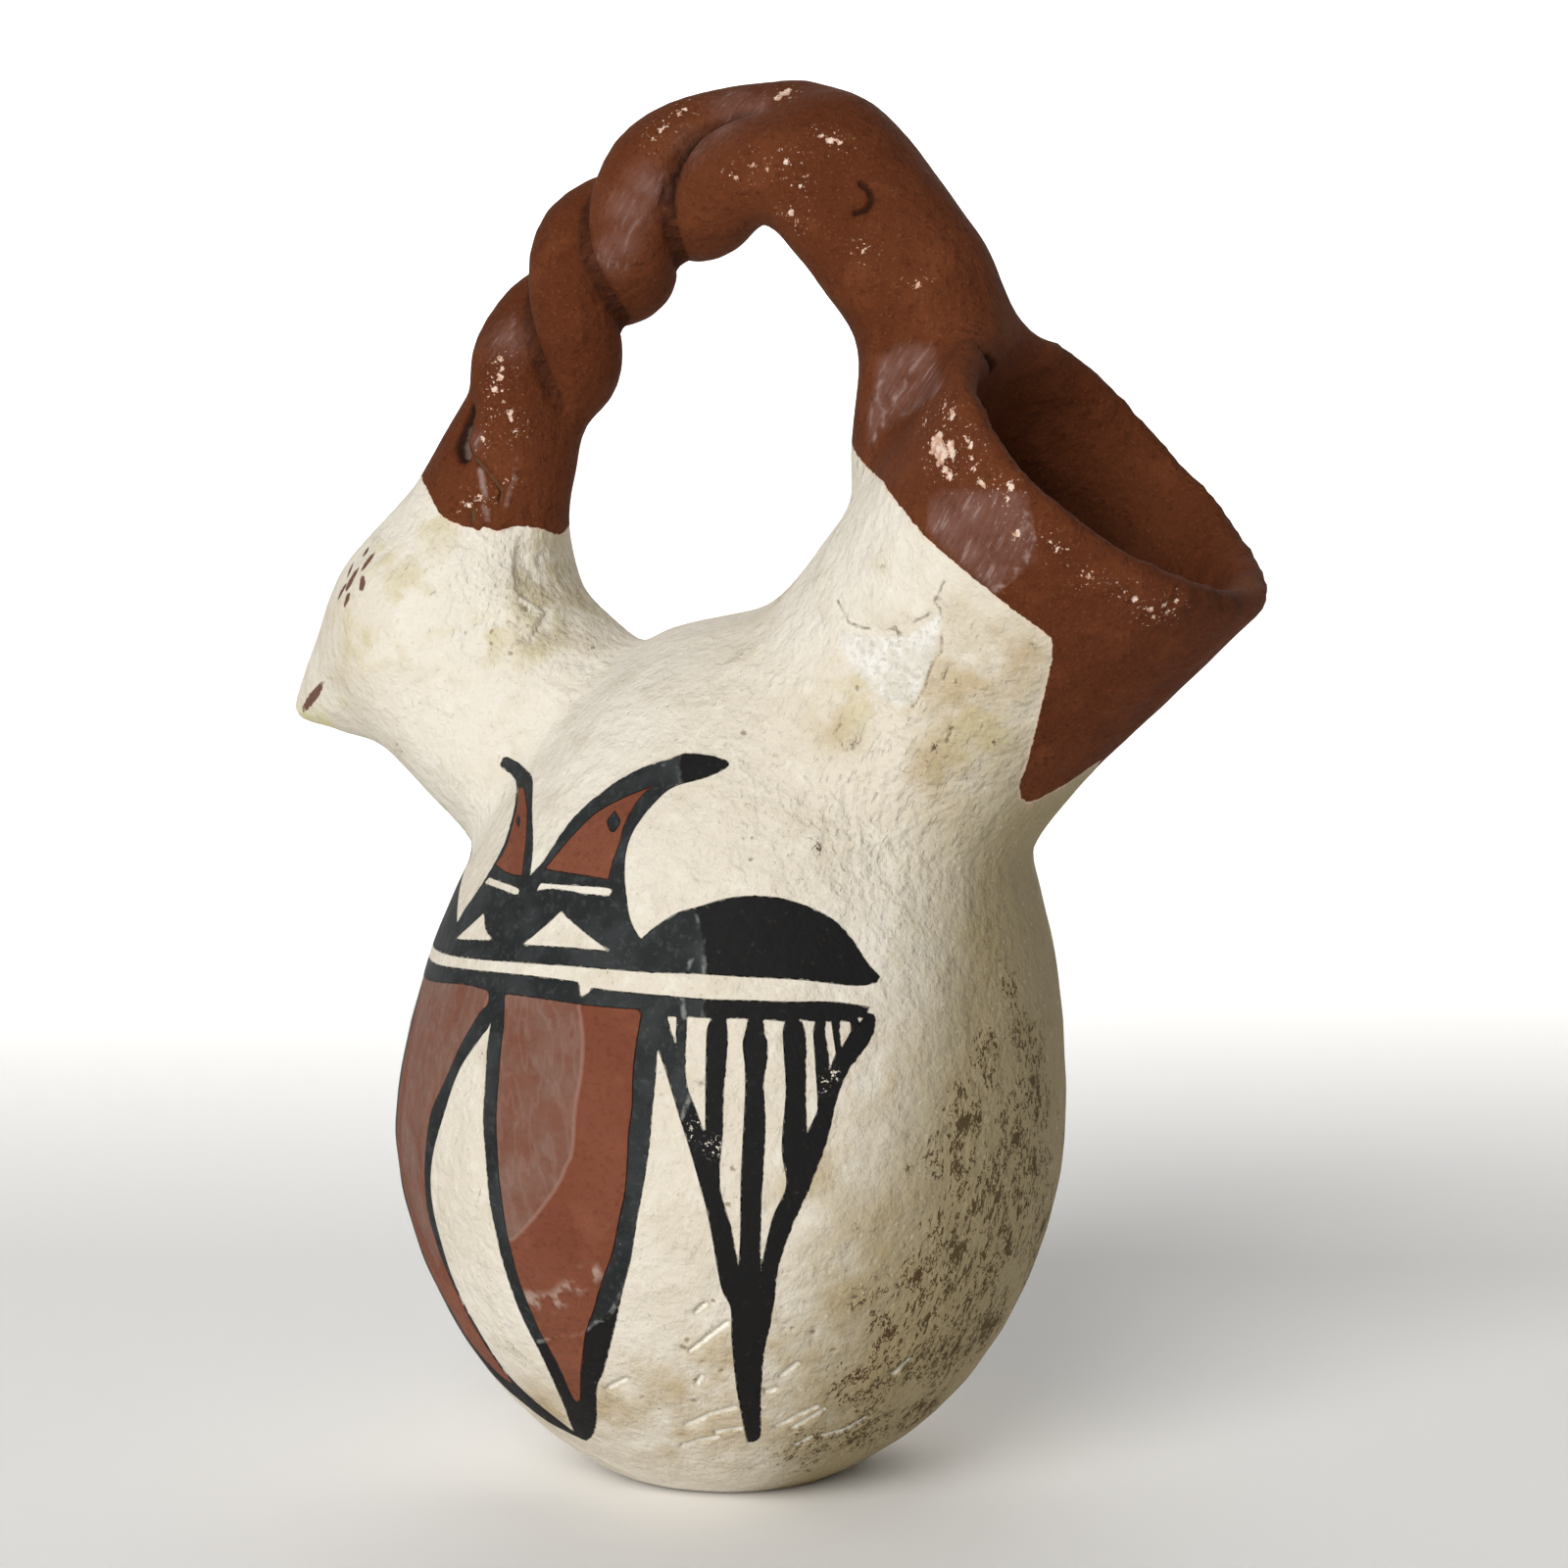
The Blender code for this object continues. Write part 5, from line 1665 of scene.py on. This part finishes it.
# %% Red paint
rust = blend(rise(cloud, 0.38, 0.62), srgb(126, 74, 54), srgb(118, 66, 46))
rust = over(rust, (98, 50, 34), rise(tooth, 0.52, 0.74), 0.45)
rust = over(rust, (146, 90, 68), rise(mottle, 0.5, 0.7), 0.35)
leaf_haze = larger(rise(field("leaf_film"), -0.05, 0.1), rise(field("left_leaf_film"), -0.1, 0.2))
cloudy = times(leaf_haze, plus(0.35, times(rise(plus(mottle, patchy), 0.7, 1.3), 0.65)))
rust = over(rust, (127, 100, 88), cloudy, 0.8)
swirls = grain(5.0, 2.0, 0.6, tilt=-12.0, stretch=(0.5, 0.6, 1.6), shift=77.0)
swirl = fall(sums("ABSOLUTE", minus(swirls, 0.5)), 0.0, 0.06)
rust = over(rust, (160, 136, 126), swirl, leaf_haze, 0.16)
rim = fall(sums("ABSOLUTE", field("leaf_film")), 0.05, 0.4)
rust = over(rust, (172, 140, 126), rim, 0.34)
smear = times(fall(field("smears"), 0.2, 1.8), rise(patchy, 0.45, 0.6))
rust = over(rust, (196, 178, 164), smear, 0.55)
rust = over(rust, (184, 158, 144), pale_line, 0.4)
print("red paint: 8 layers")

# %% [markdown]
# ## Putting the layers together
#
# Paint goes over slip, and losses go over paint. Roughness follows the same amounts,
# since chalky slip scatters light more than burnished paint does. Fine relief, too small
# for the mesh, is added as bump: the slip's tooth and unevenness, small pits and scratches.

# %% Lay every colour in order
lost = times(rise(grit, 0.735, 0.765), rise(mottle, 0.45, 0.6))
lost = larger(lost, times(rise(field("ink_flecks"), 0.1, 0.8), rise(crumbs, 0.6, 0.63)))
kept = minus(1.0, lost)
slip_amount = edged(field("slip"))
red_amount = times(rise(plus(field("red"), 0.22), -0.06, 0.06), kept)
ink_amount = times(edged(field("ink")), kept)
brush_amount = edged(field("brush"), 0.08)
patch_amount = times(edged(field("patch"), 0.35), 0.74)
flaked = blend(rise(patchy, 0.4, 0.6), srgb(236, 235, 229), srgb(218, 215, 205))
flaked = over(flaked, (190, 184, 168), rise(tooth, 0.5, 0.62), 0.55)
pink_rim = times(rise(field("slip"), -0.5, -0.2), rise(patchy, 0.36, 0.56))

colour = blend(patch_amount, cream, flaked)
colour = over(colour, (150, 142, 124), dark_grit, times(patch_amount, 0.6))
colour = over(colour, (228, 196, 176), pink_rim, 0.45)
colour = over(colour, rust, red_amount)
colour = over(colour, black, ink_amount)
colour = over(colour, (104, 66, 50), brush_amount, 0.95)
colour = over(colour, earth, slip_amount)
# Dark lines: cracks, and painted shadow along the flaked patch's sunk top edge
crack_and_shadow_amount = times(near_line("crack_and_shadow_lines", 0.02, 0.3), rise(plus(patchy, times(ragged, 0.5)), 0.34, 0.56))
colour = over(colour, (96, 78, 56), crack_and_shadow_amount, 0.76)
# Painted shade in the open pocket at the handle's root, with a paler line along its middle
colour = over(colour, (30, 18, 13), near_line("pocket", 0.8, 1.3), 0.85)
colour = over(colour, (118, 98, 88), near_line("pocket", 0.25, 0.62), 0.8)
tree.links.new(colour, shader.inputs["Base Color"])
print("colours laid:", 10)

# %% Roughness and fine relief
paint_amount = larger(ink_amount, red_amount)
roughness = minus(0.88, times(paint_amount, 0.2))
roughness = plus(roughness, times(minus(tooth, 0.5), 0.2))
tree.links.new(roughness, shader.inputs["Roughness"])
shader.inputs["Specular IOR Level"].default_value = 0.12

calm = minus(1.0, times(rise(field("ink"), -0.1, 0.1), 0.7))
relief = plus(times(tooth, 0.26), times(patchy, 0.42))
relief = plus(relief, times(mottle, 0.85))
pits = times(rise(dashes, 0.58, 0.7), plus(0.03, times(field("coarse"), 0.07)))
relief = minus(plus(relief, times(times(patchy, field("coarse")), 0.55)), pits)
relief = plus(times(relief, calm), times(rise(field("scratches"), 0.05, 0.45), 0.3))
bump = tree.nodes.new("ShaderNodeBump")
bump.inputs["Strength"].default_value = 1.0
bump.inputs["Distance"].default_value = MM
tree.links.new(relief, bump.inputs["Height"])
tree.links.new(bump.outputs["Normal"], shader.inputs["Normal"])
pot.data.materials.append(clay)
pot.data.polygons.foreach_set("use_smooth", [True] * len(pot.data.polygons))
pot.data.update()
print("nodes in the material:", len(tree.nodes))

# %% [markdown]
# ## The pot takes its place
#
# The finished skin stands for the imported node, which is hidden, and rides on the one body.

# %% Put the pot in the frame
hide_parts("bird_effigy_pot")
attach(pot, "root")
